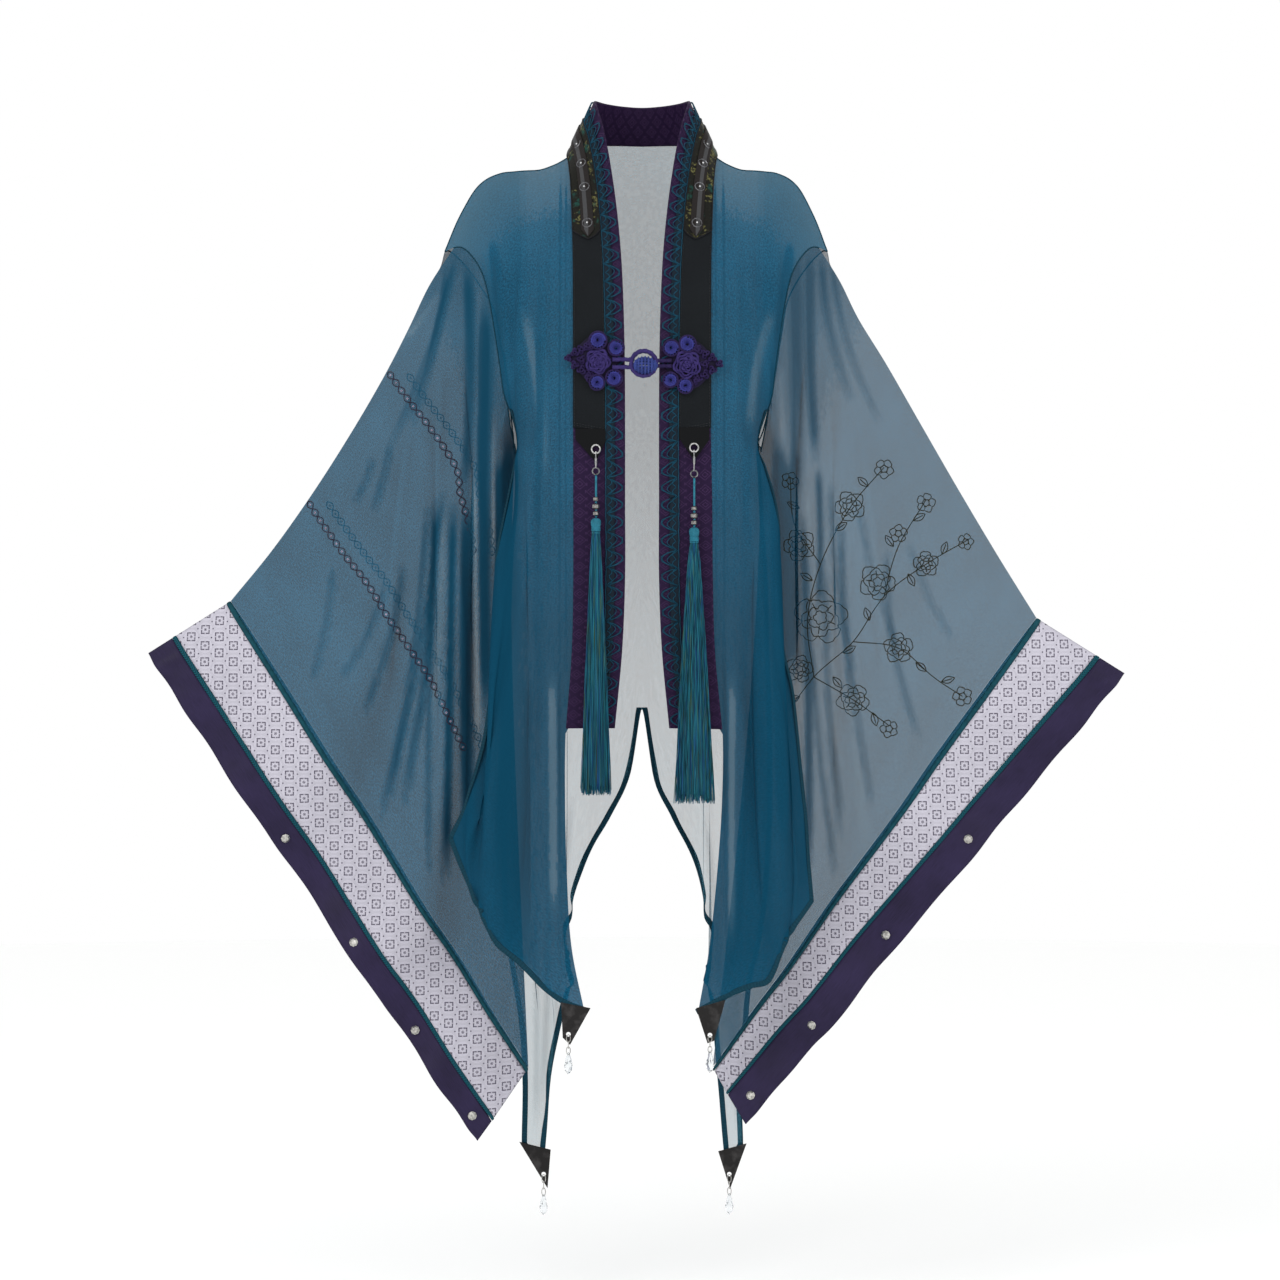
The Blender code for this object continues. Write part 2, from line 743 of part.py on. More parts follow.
class CollarSurface:
    """The collar's own facets, which all that lies on it follows."""

    def __init__(self, cloth, normals):
        self.grid = cloth.grid
        self.normals = [[normals[key_of(point)] for point in row] for row in cloth.grid]

    def at(self, station, across, lift=0.0):
        """Point at this station and share across, raised along the collar's outward side."""
        row = min(int(math.floor(station + COLLAR_LAST)), 2 * COLLAR_LAST - 1)
        down = station + COLLAR_LAST - row
        column = max(k for k, edge in enumerate(COLLAR_ACROSS[:-1]) if edge <= across)
        width = COLLAR_ACROSS[column + 1] - COLLAR_ACROSS[column]
        over = (across - COLLAR_ACROSS[column]) / width

        def blend(table):
            first = table[row][column].lerp(table[row][column + 1], over)
            last = table[row + 1][column].lerp(table[row + 1][column + 1], over)
            return first.lerp(last, down)

        return blend(self.grid) + blend(self.normals).normalized() * lift

    def frame(self, station, across, lift):
        """Placement whose Z axis is the collar's outward side and whose Y axis runs up."""
        place = self.at(station, across, lift)
        out = (self.at(station, across, lift + 1) - place).normalized()
        step = -0.05 if station > 0 else 0.05
        up = self.at(station + step, across, lift) - place
        side = up.cross(out).normalized()
        up = out.cross(side)
        return Matrix.Translation(place) @ Matrix((side, up, out)).transposed().to_4x4()


def add_strip(bm, collar, stations, columns, low, high):
    """A wall that lies on the collar, from station to station."""
    outer, inner = [], []
    for station, across in zip(stations, columns):
        outer.append([collar.at(station, share, high) for share in across])
        inner.append([collar.at(station, share, low) for share in across])
    add_wall(bm, outer, inner, False, True)


def stations_between(first, last):
    """Both ends, and every whole station between them."""
    inside = range(math.floor(first) + 1, math.ceil(last))
    return [first, *inside, last]


def collar_strip(name, collar, strip, slot):
    """A plain strip round the whole collar, drawn in a little from its own edges."""
    first, last = strip.across[0] + STRIP_INSET, strip.across[-1] - STRIP_INSET
    across = [first, *strip.across[1:-1], last]
    end = strip.end - STRIP_INSET
    stations = stations_between(-end, end)
    bm = bmesh.new()
    add_strip(bm, collar, stations, [across] * len(stations), strip.low, strip.high)
    return object_of(name, bm, slot)


def pointed_strip(name, collar, strip, slot):
    """A strip round the neck whose two ends are cut to a point."""
    first, last = strip.across[0] + STRIP_INSET, strip.across[-1] - STRIP_INSET
    across = [first, *strip.across[1:-1], last]
    middle = (first + last) / 2
    tip = [between(middle, share, POINT_WIDTH) for share in across]
    end = strip.end
    stations = [-end - PATCH_POINT, *stations_between(-end, end), end + PATCH_POINT]
    columns = [tip] + [across] * (len(stations) - 2) + [tip]
    bm = bmesh.new()
    add_strip(bm, collar, stations, columns, strip.low, strip.high)
    return object_of(name, bm, slot)


# Small pieces


def ring_points(radius, sides, z=0.0, turn=0.0):
    steps = (2 * math.pi * k / sides + turn for k in range(sides))
    return [Vector((radius * math.cos(angle), radius * math.sin(angle), z)) for angle in steps]


def turned(profile, sides):
    """A solid turned round Z from (radius, z) steps that run upwards."""
    bm = bmesh.new()
    rings = [[bm.verts.new(p) for p in ring_points(radius, sides, z)] for radius, z in profile]
    for low, high in zip(rings, rings[1:]):
        for k in range(sides):
            bm.faces.new((low[k - 1], low[k], high[k], high[k - 1]))
    bm.faces.new(reversed(rings[0]))
    bm.faces.new(rings[-1])
    return bm


def torus(radius, wire, around, across):
    """A closed ring that lies in the XY plane."""
    bm = bmesh.new()
    loops = []
    for k in range(around):
        turn = 2 * math.pi * k / around
        out = Vector((math.cos(turn), math.sin(turn), 0))
        section = ring_points(wire, across)
        loops.append([bm.verts.new(out * (radius + p.x) + Vector((0, 0, p.y))) for p in section])
    for k in range(around):
        for j in range(across):
            bm.faces.new((loops[k - 1][j - 1], loops[k][j - 1], loops[k][j], loops[k - 1][j]))
    return bm


def wire_along(points, wire, sides):
    """A round wire through points that lie in one plane of constant X."""
    bm = bmesh.new()
    loops = []
    for i, point in enumerate(points):
        along = (points[min(i + 1, len(points) - 1)] - points[max(i - 1, 0)]).normalized()
        side = Vector((1, 0, 0))
        over = along.cross(side)
        section = ring_points(wire, sides)
        loops.append([bm.verts.new(point + side * p.x + over * p.y) for p in section])
    for before, after in zip(loops, loops[1:]):
        for k in range(sides):
            bm.faces.new((before[k - 1], after[k - 1], after[k], before[k]))
    bm.faces.new(loops[0])
    bm.faces.new(reversed(loops[-1]))
    return bm


def plate(outline, low, high):
    """A flat plate from an outline that runs anticlockwise in the XY plane."""
    bm = bmesh.new()
    bottom = [bm.verts.new((x, y, low)) for x, y in outline]
    top = [bm.verts.new((x, y, high)) for x, y in outline]
    bm.faces.new(reversed(bottom))
    bm.faces.new(top)
    for k in range(len(outline)):
        bm.faces.new((bottom[k - 1], bottom[k], top[k], top[k - 1]))
    return bm


def moved(bm, place):
    """The mesh brought to its place, with its faces outwards."""
    bmesh.ops.transform(bm, matrix=place, verts=bm.verts)
    bmesh.ops.recalc_face_normals(bm, faces=bm.faces)
    return bm


def joined(name, slot, first, others, operation="UNION", pivot=None):
    """One solid from several, with the others kept as hidden cutters."""
    whole = object_of(name, first, slot, pivot)
    if operation == "DIFFERENCE":
        whole.data.shade_flat()
    for k, other in enumerate(others):
        cutter = object_of(f"{name}_shape_{k}", other, slot, pivot)
        cutter.hide_render = True
        cutter.display_type = "WIRE"
        modifier = whole.modifiers.new("join", "BOOLEAN")
        modifier.operation = operation
        modifier.object = cutter
    return whole


def facing_front(x, y, z):
    """A place whose Z axis points at the viewer and whose Y axis points up."""
    turn = Matrix(((1, 0, 0), (0, 0, -1), (0, 1, 0))).to_4x4()
    return Matrix.Translation((x, y, z)) @ turn


def collar_rings(collar):
    """Small rings sewn on the tape, four a side."""
    number = 0
    for sign in SIDES.values():
        for station in RING_STATIONS:
            number += 1
            place = collar.frame(sign * station, MIDDLE_ACROSS, NECK_TAPE.high + RING_WIRE + RING_GAP)
            bm = moved(torus(RING_RADIUS, RING_WIRE, 12, 4), place)
            object_of(f"collar_ring_{number}", bm, "steel")


# Where each side's eyelet sits on the collar, and how far its tab stands off there
Seat = namedtuple("Seat", "station across lift")
EYELETS = {"left": Seat(-15.09, 0.56, 4.8), "right": Seat(15.09, 0.67, 4.8)}
TAB_WALL = 1.2
TAB_TILT = math.radians(-2.6)
TAB_OUTLINES = {
    "left": ((-25, 25), (-25, 12), (0, -16), (12, 10), (12, 25)),
    "right": ((-18, 25), (-18, 12), (0, -16), (19, 10), (19, 25)),
}


def eyelet_place(collar, side):
    eyelet = EYELETS[side]
    place = collar.frame(eyelet.station, eyelet.across, eyelet.lift)
    return place @ Matrix.Rotation(TAB_TILT, 4, "X")


def point_tab(side, place):
    """A pointed tab of the strap that stands off the collar, with an eyelet through it."""
    body = moved(plate(TAB_OUTLINES[side], -TAB_WALL / 2, TAB_WALL / 2), place)
    hole = moved(plate([p.xy for p in ring_points(EYELET_HOLE, 10)], -4, 4), place)
    joined("point_tab_" + side, "twill", body, [hole], "DIFFERENCE")
    rim = [(EYELET_HOLE, EYELET_OUTER), (EYELET_HOLE + 0.5, EYELET_OUTER - 0.8)]
    flat = washer(rim, TAB_WALL / 2 + SEAM_GAP, 1.2, 12)
    object_of("collar_eyelet_" + side, moved(flat, place), "steel")


def washer(rims, low, height, sides):
    """A flat ring whose bottom and top have the given inner and outer radius."""
    (bottom_in, bottom_out), (top_in, top_out) = rims
    bm = bmesh.new()
    circles = ((bottom_in, low), (bottom_out, low), (top_out, low + height), (top_in, low + height))
    loops = [[bm.verts.new(p) for p in ring_points(radius, sides, z)] for radius, z in circles]
    for j in range(4):
        for k in range(sides):
            bm.faces.new((loops[j - 1][k - 1], loops[j - 1][k], loops[j][k], loops[j][k - 1]))
    return bm


def hook_path(width, low, tip):
    """A hook over the rim of a hole, from its tip behind, through the hole and down in front."""
    points = [Vector((0, width, -tip))]
    for k in range(5):
        turn = math.pi * k / 4
        points.append(Vector((0, width / 2 * (1 + math.cos(turn)), width / 2 * math.sin(turn))))
    points.append(Vector((0, 0, low)))
    return points


# A tassel below its hook: the ring, three beads on a cord, the bound head and the skirt
CLASP_REACH, CLASP_WIRE = 3.1, 0.8
CLASP_BODY = ((0.6, -17), (1.9, -13), (1.9, -6.5), (0.6, -3.5))
TASSEL_RING_RADIUS, TASSEL_RING_WIRE = 4.2, 0.8
Tassel = namedtuple("Tassel", "ring beads head neck end wide")
TASSELS = {
    "left": Tassel(-21.5, (-55.5, -64.5, -73), -78.5, -94.5, -412.5, 25),
    "right": Tassel(-26.5, (-68.5, -77.5, -86), -91.5, -108.5, -423.5, 36),
}
BEAD_RADII = (3.5, 4.5, 3.8)
STRAND_SIDES = 18
HEAD_RADIUS, NECK_RADIUS = 6.0, 4.6
SKIRT_FLAT = 0.45
STRAND_SIZE, ROOT_INSET, ROOT_SPREAD = 0.9, 0.12, 0.35
# How far a hook's wire stays off the rim of its hole
CLASP_GAP, CHARM_GAP = 0.9, 0.5


def tassel(side, place):
    """What swings from one eyelet: clasp, beads and skirt."""
    x, y, z = place.translation
    pivot = pivot_at("tassel_pivot_" + side, x, y, z - EYELET_HOLE + CLASP_WIRE + CLASP_GAP)
    front = Matrix.Translation((0, -CLASP_REACH - 0.5, -CLASP_REACH))
    tassel_clasp(side, pivot, front)
    tassel_beads(side, pivot, front)
    tassel_skirt(side, pivot, front)


def tassel_clasp(side, pivot, front):
    hang = TASSELS[side]
    path = hook_path(2 * CLASP_REACH, hang.ring + TASSEL_RING_RADIUS, 4)
    hook = moved(wire_along(path, CLASP_WIRE, 5), front)
    body = moved(turned(CLASP_BODY, 6), front)
    turn = Matrix.Translation((0, 0, hang.ring)) @ Matrix.Rotation(math.pi / 2, 4, "X")
    link = moved(torus(TASSEL_RING_RADIUS, TASSEL_RING_WIRE, 10, 4), front @ turn)
    joined("tassel_clasp_" + side, "steel", hook, [body, link], pivot=pivot)


def tassel_beads(side, pivot, front):
    """The cord from the ring to the head, with its three beads."""
    hang = TASSELS[side]
    profile = [(1.0, hang.head + SEAM_GAP)]
    for radius, middle in reversed(list(zip(BEAD_RADII, hang.beads))):
        profile += [(1.0, middle - radius * 0.9), (radius, middle - radius * 0.45)]
        profile += [(radius, middle + radius * 0.45), (1.0, middle + radius * 0.9)]
    profile.append((1.0, hang.ring - TASSEL_RING_RADIUS - TASSEL_RING_WIRE - SEAM_GAP))
    object_of("tassel_beads_" + side, moved(turned(profile, 7), front), "bead", pivot)


def tassel_skirt(side, pivot, front):
    """The bound head, and strands that grow out of its underside."""
    hang = TASSELS[side]
    bm = bmesh.new()
    sides = STRAND_SIDES
    steps = [(NECK_RADIUS, hang.neck + 3), (HEAD_RADIUS - 1, hang.head - 8)]
    steps += [(HEAD_RADIUS, hang.head - 5), (HEAD_RADIUS - 2, hang.head)]
    rings = [[bm.verts.new(p) for p in ring_points(HEAD_RADIUS, sides, hang.neck)]]
    for radius, z in steps:
        rings.append([bm.verts.new(p) for p in ring_points(radius, sides, z)])
    for low, high in zip(rings, rings[1:]):
        for k in range(sides):
            bm.faces.new((low[k - 1], low[k], high[k], high[k - 1]))
    bm.faces.new(rings[-1])
    inner = [bm.verts.new(p) for p in ring_points(HEAD_RADIUS * 0.55, sides, hang.neck)]
    roots = []
    for k in range(sides):
        roots.append(bm.faces.new((rings[0][k], rings[0][k - 1], inner[k - 1], inner[k])))
    centre = bm.verts.new((0, 0, hang.neck))
    for k in range(0, sides, 2):
        roots.append(bm.faces.new((inner[k], inner[k - 1], inner[k - 2], centre)))
    grow_strands(bm, roots, hang)
    object_of("tassel_skirt_" + side, moved(bm, front), "tassel", pivot)


def grow_strands(bm, roots, hang):
    """Each root face is drawn in and pulled down as one strand that spreads from its neighbours."""
    bmesh.ops.inset_individual(bm, faces=roots, thickness=ROOT_INSET, use_even_offset=True)
    spread = hang.wide / HEAD_RADIUS
    for root in roots:
        middle = root.calc_center_median()
        flare = Vector((middle.x * spread, middle.y * spread * SKIRT_FLAT, 0))
        size = 1
        for share in (0.12, 1.0):
            made = bmesh.ops.extrude_discrete_faces(bm, faces=[root])
            root = made["faces"][0]
            here = root.calc_center_median()
            opened = between(ROOT_SPREAD, 1, share)
            goal = middle.lerp(flare, opened)
            goal.z = between(hang.neck, hang.end, share)
            grown = STRAND_SIZE * between(1, spread * SKIRT_FLAT, opened)
            for vert in root.verts:
                vert.co = goal + (vert.co - here) * grown / size
            size = grown


# The frog: flat discs of coiled cord on a pointed plate, a looped cord and a button knot
Disc = namedtuple("Disc", "x z radius height")
FROG_DISCS = {
    "left": (
        Disc(4, 0, 15.4, 9),
        Disc(4, 27, 12, 6),
        Disc(27, 17, 10.2, 6),
        Disc(23, -22, 10.8, 6),
        Disc(2, -27, 10.2, 6),
    ),
    "right": (
        Disc(-4, 0, 17.5, 9),
        Disc(-23, 22, 10.2, 6),
        Disc(-4, 27, 10.2, 6),
        Disc(-24, -18, 9.6, 6),
        Disc(-7, -27, 9.9, 6),
    ),
}
FROG_PLATES = {
    "left": (
        *((-40, 9), (-26, -8), (-8, -26), (2, -33), (20, -29)),
        *((32, -12), (34, 12), (14, 34), (-6, 34), (-26, 22)),
    ),
    "right": (
        *((43, 1), (26, 19), (6, 34), (-10, 34), (-30, 24)),
        *((-33, 0), (-30, -22), (-8, -35), (8, -30), (28, -14)),
    ),
}
FROG_SEATS = {"left": Seat(-12.75, 0.575, 3.2), "right": Seat(12.87, 0.595, 3.2)}
FROG_WALL = 3.0
LOOP_X, LOOP_Y, LOOP_Z, LOOP_RADIUS, LOOP_CORD = 2, -129.6, -257.5, 15, 2.7
RUN_START, RUN_RISE = -36.5, 4.6
KNOT_RADIUS, KNOT_CORD_END, KNOT_CORD_DEPTH = 11, 24.4, 5.7


def frog_half(side, collar):
    seat = FROG_SEATS[side]
    place = collar.frame(seat.station, seat.across, seat.lift)
    body = moved(plate(FROG_PLATES[side], 0, FROG_WALL), place)
    discs = []
    for disc in FROG_DISCS[side]:
        edge, crown = disc.radius, disc.radius * 0.7
        profile = ((edge, 1), (edge, disc.height * 0.75), (crown, disc.height))
        at = place @ Matrix.Translation((disc.x, disc.z, 0))
        discs.append(moved(turned(profile, 10), at))
    joined("frog_" + side, "cord", body, discs)


def bar(x_from, x_to, z, y, radius):
    """A straight run of cord along X."""
    place = Matrix.Translation((x_from, y, z)) @ Matrix.Rotation(math.pi / 2, 4, "Y")
    return moved(turned(((radius, 0), (radius, x_to - x_from)), 6), place)


def frog_loop():
    """The ring of cord and its two runs to the left half."""
    place = facing_front(LOOP_X, LOOP_Y, LOOP_Z)
    ring = moved(torus(LOOP_RADIUS, LOOP_CORD, 14, 5), place)
    runs = [
        bar(RUN_START, LOOP_X - LOOP_RADIUS + 0.5, LOOP_Z + rise, LOOP_Y, LOOP_CORD)
        for rise in (-RUN_RISE, RUN_RISE)
    ]
    joined("frog_loop", "cord", ring, runs)


def frog_button():
    """The knot that fills the loop, on a cord from the right half that passes behind the ring."""
    shape = ((3, -7), (8.5, -5), (KNOT_RADIUS, 0), (9, 5), (4, 8))
    knot = moved(turned(shape, 10), facing_front(LOOP_X, LOOP_Y - 1, LOOP_Z))
    cord = bar(LOOP_X, KNOT_CORD_END, LOOP_Z, LOOP_Y + KNOT_CORD_DEPTH, 2.0)
    joined("frog_button", "cord", knot, [cord])


# Press studs on the cuff bands: how far down the rim each sits, and on which layer
STUD_ACROSS, STUD_GAP = 0.54, 0.45
STUDS = {
    "left": ((0.11, 1), (0.395, -1), (0.595, -1), (0.797, -1), (0.965, -1)),
    "right": ((0.08, 1), (0.14, 1), (0.396, -1), (0.595, -1), (0.793, -1), (0.965, -1)),
}


def stud_place(side, share, layer, lift):
    """A place on a band's own facet, raised from it, whose Z axis points away from the cloth."""
    steps = [ring_share(k) for k in range(HALF_RING + 1)]
    here = max(k for k in range(HALF_RING) if steps[k] <= share)
    over = (share - steps[here]) / (steps[here + 1] - steps[here])
    cuff = CUFFS[side]
    inner, rim = [], []
    for step in (here, here + 1):
        start = between(cuff.braid_top, cuff.braid_low, ring_share(step)) + BRAID_SHARE
        inner.append(cuff_point(side, start, step, layer))
        rim.append(cuff_point(side, 1, step, layer))
    start, end = inner[0].lerp(inner[1], over), rim[0].lerp(rim[1], over)
    facing = (end - start).cross(rim[1] - rim[0]).normalized()
    if facing.y * layer < 0:
        facing.negate()
    middle = start.lerp(end, STUD_ACROSS) + facing * lift
    turn = facing.to_track_quat("Z", "Y").to_matrix().to_4x4()
    return Matrix.Translation(middle) @ turn


def cuff_studs(side):
    for number, (share, layer) in enumerate(STUDS[side], 1):
        place = stud_place(side, share, layer, CUFF_WALLS["band"] / 2 + STUD_GAP)
        shape = ((STUD_RADIUS - 1, 0), (STUD_RADIUS, 0.8), (STUD_RADIUS * 0.6, STUD_HEIGHT))
        object_of(f"cuff_stud_{side}_{number}", moved(turned(shape, 8), place), "steel")


# Leather tabs at the hem points, in the plane of the hem: outline, plane, hole and what hangs from it
HemTab = namedtuple("HemTab", "outline y hole_x hole_z ring_z")
HEM_TABS = {
    "front_left": HemTab(((-99, -1037), (-97, -1080), (-88, -1089), (-63, -1044)), -105.7, -90, -1076, -14),
    "front_right": HemTab(((66, -1044), (80, -1087), (88, -1084), (102, -1034)), -105.7, 83, -1077, -11),
    "back_left": HemTab(((-156, -1232), (-120, -1291), (-116, -1242)), 82.3, -125, -1273, -17),
    "back_right": HemTab(((97, -1244), (112, -1292), (133, -1234)), 82.3, 111, -1273, -16),
}
TAB_HOLE, LEATHER_WALL = 3.0, 1.4
CHARM_WIRE, CHARM_RING = 0.6, 4.0
Crystal = namedtuple("Crystal", "radius z")
CRYSTAL = (Crystal(0.8, -28), Crystal(5.8, -18), Crystal(5.2, -12), Crystal(1.2, 0))


def hem_tab(corner):
    tab = HEM_TABS[corner]
    place = facing_front(0, tab.y, 0)
    body = moved(plate(tab.outline, -LEATHER_WALL / 2, LEATHER_WALL / 2), place)
    hole_place = facing_front(tab.hole_x, tab.y, tab.hole_z)
    hole = moved(plate([p.xy for p in ring_points(TAB_HOLE, 8)], -4, 4), hole_place)
    joined("hem_tab_" + corner, "leather", body, [hole], "DIFFERENCE")


def charm(corner):
    """A wire hook through the tab's hole, a small ring and a crystal drop."""
    tab = HEM_TABS[corner]
    reach = LEATHER_WALL / 2 + CHARM_WIRE + 0.8
    height = tab.hole_z - TAB_HOLE + CHARM_WIRE + CHARM_GAP
    pivot = pivot_at("charm_pivot_" + corner, tab.hole_x, tab.y, height)
    front = Matrix.Translation((0, -reach, -reach))
    path = hook_path(2 * reach, tab.ring_z + CHARM_RING, 3)
    hook = moved(wire_along(path, CHARM_WIRE, 4), front)
    turn = Matrix.Translation((0, 0, tab.ring_z)) @ Matrix.Rotation(math.pi / 2, 4, "X")
    ring = moved(torus(CHARM_RING, CHARM_WIRE, 8, 4), front @ turn)
    stone = turned([(step.radius, step.z) for step in CRYSTAL], 6)
    stone = moved(stone, front @ Matrix.Translation((0, 0, tab.ring_z - CHARM_RING + 1)))
    joined("charm_" + corner, "crystal", hook, [ring, stone], pivot=pivot)


def main():
    for old in list(bpy.data.objects):
        bpy.data.objects.remove(old)
    cloths = [back_cloth(), collar_cloth()]
    for side in SIDES:
        cloths += [front_cloth(side), sleeve_cloth(side), *cuff_cloths(side)]
    normals = shared_normals(cloths)
    for cloth in cloths:
        cloth_wall(cloth, normals)
    collar = CollarSurface(cloths[1], normals)
    collar_strip("collar_lace", collar, LACE, "lace")
    collar_strip("collar_strap", collar, STRAP, "twill")
    pointed_strip("neck_brocade", collar, NECK_PATCH, "gold_brocade")
    pointed_strip("neck_tape", collar, NECK_TAPE, "tape")
    collar_rings(collar)
    for side in SIDES:
        place = eyelet_place(collar, side)
        point_tab(side, place)
        tassel(side, place)
        frog_half(side, collar)
        cuff_studs(side)
    frog_loop()
    frog_button()
    for corner in HEM_TABS:
        hem_tab(corner)
        charm(corner)


if __name__ == "__main__":
    main()
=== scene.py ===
"""Haori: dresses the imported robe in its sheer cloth, brocade cuffs, trimmed collar, frog and tassels.

Metres, +Z up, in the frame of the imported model. The front faces -Y and the viewer's right is +X.
Folds, hems and small pieces are given in millimetres.
"""

import math
import random
from collections import namedtuple

import bmesh
import bpy
import numpy as np
from bpy.props import FloatProperty, FloatVectorProperty, PointerProperty
from bpy.types import Operator, Panel, PropertyGroup
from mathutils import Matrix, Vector, kdtree


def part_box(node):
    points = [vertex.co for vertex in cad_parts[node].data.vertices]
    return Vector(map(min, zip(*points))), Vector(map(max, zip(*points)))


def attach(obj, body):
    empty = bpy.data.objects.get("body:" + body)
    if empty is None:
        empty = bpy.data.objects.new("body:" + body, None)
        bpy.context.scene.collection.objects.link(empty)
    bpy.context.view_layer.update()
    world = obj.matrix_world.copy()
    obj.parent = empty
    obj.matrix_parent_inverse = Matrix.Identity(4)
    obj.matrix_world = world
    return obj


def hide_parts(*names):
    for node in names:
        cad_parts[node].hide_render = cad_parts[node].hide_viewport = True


bl_info = {
    "name": "Haori cloth and trims",
    "version": (1, 0, 0),
    "blender": (4, 5, 0),
    "location": "3D View > Sidebar > Haori",
    "description": "Dresses the packed haori in its cloth, trims, cords and tassels",
    "category": "Object",
}

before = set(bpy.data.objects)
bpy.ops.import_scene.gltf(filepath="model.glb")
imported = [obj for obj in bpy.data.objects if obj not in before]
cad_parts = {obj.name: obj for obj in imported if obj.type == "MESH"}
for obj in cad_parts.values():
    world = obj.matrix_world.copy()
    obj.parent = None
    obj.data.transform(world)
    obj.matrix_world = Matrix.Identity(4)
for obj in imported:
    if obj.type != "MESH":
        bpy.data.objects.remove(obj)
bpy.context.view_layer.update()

MM = 0.001
SIDES = {"left": -1, "right": 1}
CORNERS = ("front_left", "front_right", "back_left", "back_right")
SEED = 11

# How near two points of a solid's wall or of a made mesh are the same, and how short a rim's edge is
WELD = 0.02 * MM
FINE_WELD = 0.005 * MM
RIM_EDGE = 3.2 * MM

# Rows and columns of the solids' walls
RING_COLUMNS = 44
HALF_RING = 22
FRONT_WALL = (20, 10)
BACK_WALL = (20, 27)
COLLAR_WALL = (39, 6)


# Reading a cloth solid's wall


def outward_wall(node, towards):
    """The wall of a cloth node that faces outwards, as a bmesh without its rims and its inner wall."""
    bm = bmesh.new()
    bm.from_mesh(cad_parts[node].data)
    bmesh.ops.remove_doubles(bm, verts=bm.verts, dist=WELD)
    rims = [face for face in bm.faces if min(edge.calc_length() for edge in face.edges) < RIM_EDGE]
    bmesh.ops.delete(bm, geom=rims, context="FACES")
    layers = islands(bm)
    if towards:
        layers.sort(key=lambda faces: -sum(face.normal.dot(towards) * face.calc_area() for face in faces))
    else:
        layers.sort(key=lambda faces: -sum(face.calc_area() for face in faces))
    inner = [face for faces in layers[1:] for face in faces]
    bmesh.ops.delete(bm, geom=inner, context="FACES")
    return bm


def islands(bm):
    """The faces of a bmesh, sorted into groups that hang together."""
    found, seen = [], set()
    for face in bm.faces:
        if face in seen:
            continue
        seen.add(face)
        group, edge_of = [], [face]
        while edge_of:
            current = edge_of.pop()
            group.append(current)
            for edge in current.edges:
                for other in edge.link_faces:
                    if other not in seen:
                        seen.add(other)
                        edge_of.append(other)
        found.append(group)
    return found


def neighbours(vertex, allowed):
    return [edge.other_vert(vertex) for edge in vertex.link_edges if edge.other_vert(vertex) in allowed]


def in_order(members, first, second=None):
    """The vertices of one row, walked edge by edge from its first."""
    members = set(members)
    line, members = [first], members - {first}
    current = second or neighbours(first, members)[0]
    while True:
        line.append(current)
        members.discard(current)
        ahead = neighbours(current, members)
        if not ahead:
            return line
        current = ahead[0]


def rows_below(first_row):
    """Every row of a wall, each one the ring of neighbours beyond the last."""
    rows, seen = [set(first_row)], set(first_row)
    while True:
        reached = {edge.other_vert(vertex) for vertex in rows[-1] for edge in vertex.link_edges} - seen
        if not reached:
            return rows
        rows.append(reached)
        seen |= reached


def rim_vertices(bm):
    return {vertex for edge in bm.edges if edge.is_boundary for vertex in edge.verts}


def rim_neighbours(vertex):
    return [edge.other_vert(vertex) for edge in vertex.link_edges if edge.is_boundary]


def spline_weights(places, count, breaks):
    """Weights of a smooth curve through a row of points at the given places, sharp at its breaks."""
    places = np.asarray(places, dtype=float)
    marks = np.asarray(breaks)
    span = np.clip(np.searchsorted(marks, places + 1e-9, side="right") - 1, 0, len(marks) - 2)
    cell = np.clip(np.floor(places + 1e-9).astype(int), marks[span], marks[span + 1] - 1)
    part = places - cell
    before = (-part + 2 * part**2 - part**3) / 2
    here = (2 - 5 * part**2 + 3 * part**3) / 2
    after = (part + 4 * part**2 - 3 * part**3) / 2
    beyond = (part**3 - part**2) / 2
    starts, ends = cell == marks[span], cell + 1 == marks[span + 1]
    here, after, before = here + 2 * before * starts, after - before * starts, before * ~starts
    here, after, beyond = here - beyond * ends, after + 2 * beyond * ends, beyond * ~ends
    weights = np.zeros((len(places), count))
    lines = np.arange(len(places))
    for step, weight in ((-1, before), (0, here), (1, after), (2, beyond)):
        np.add.at(weights, (lines, (cell + step) % count), weight)
    return weights


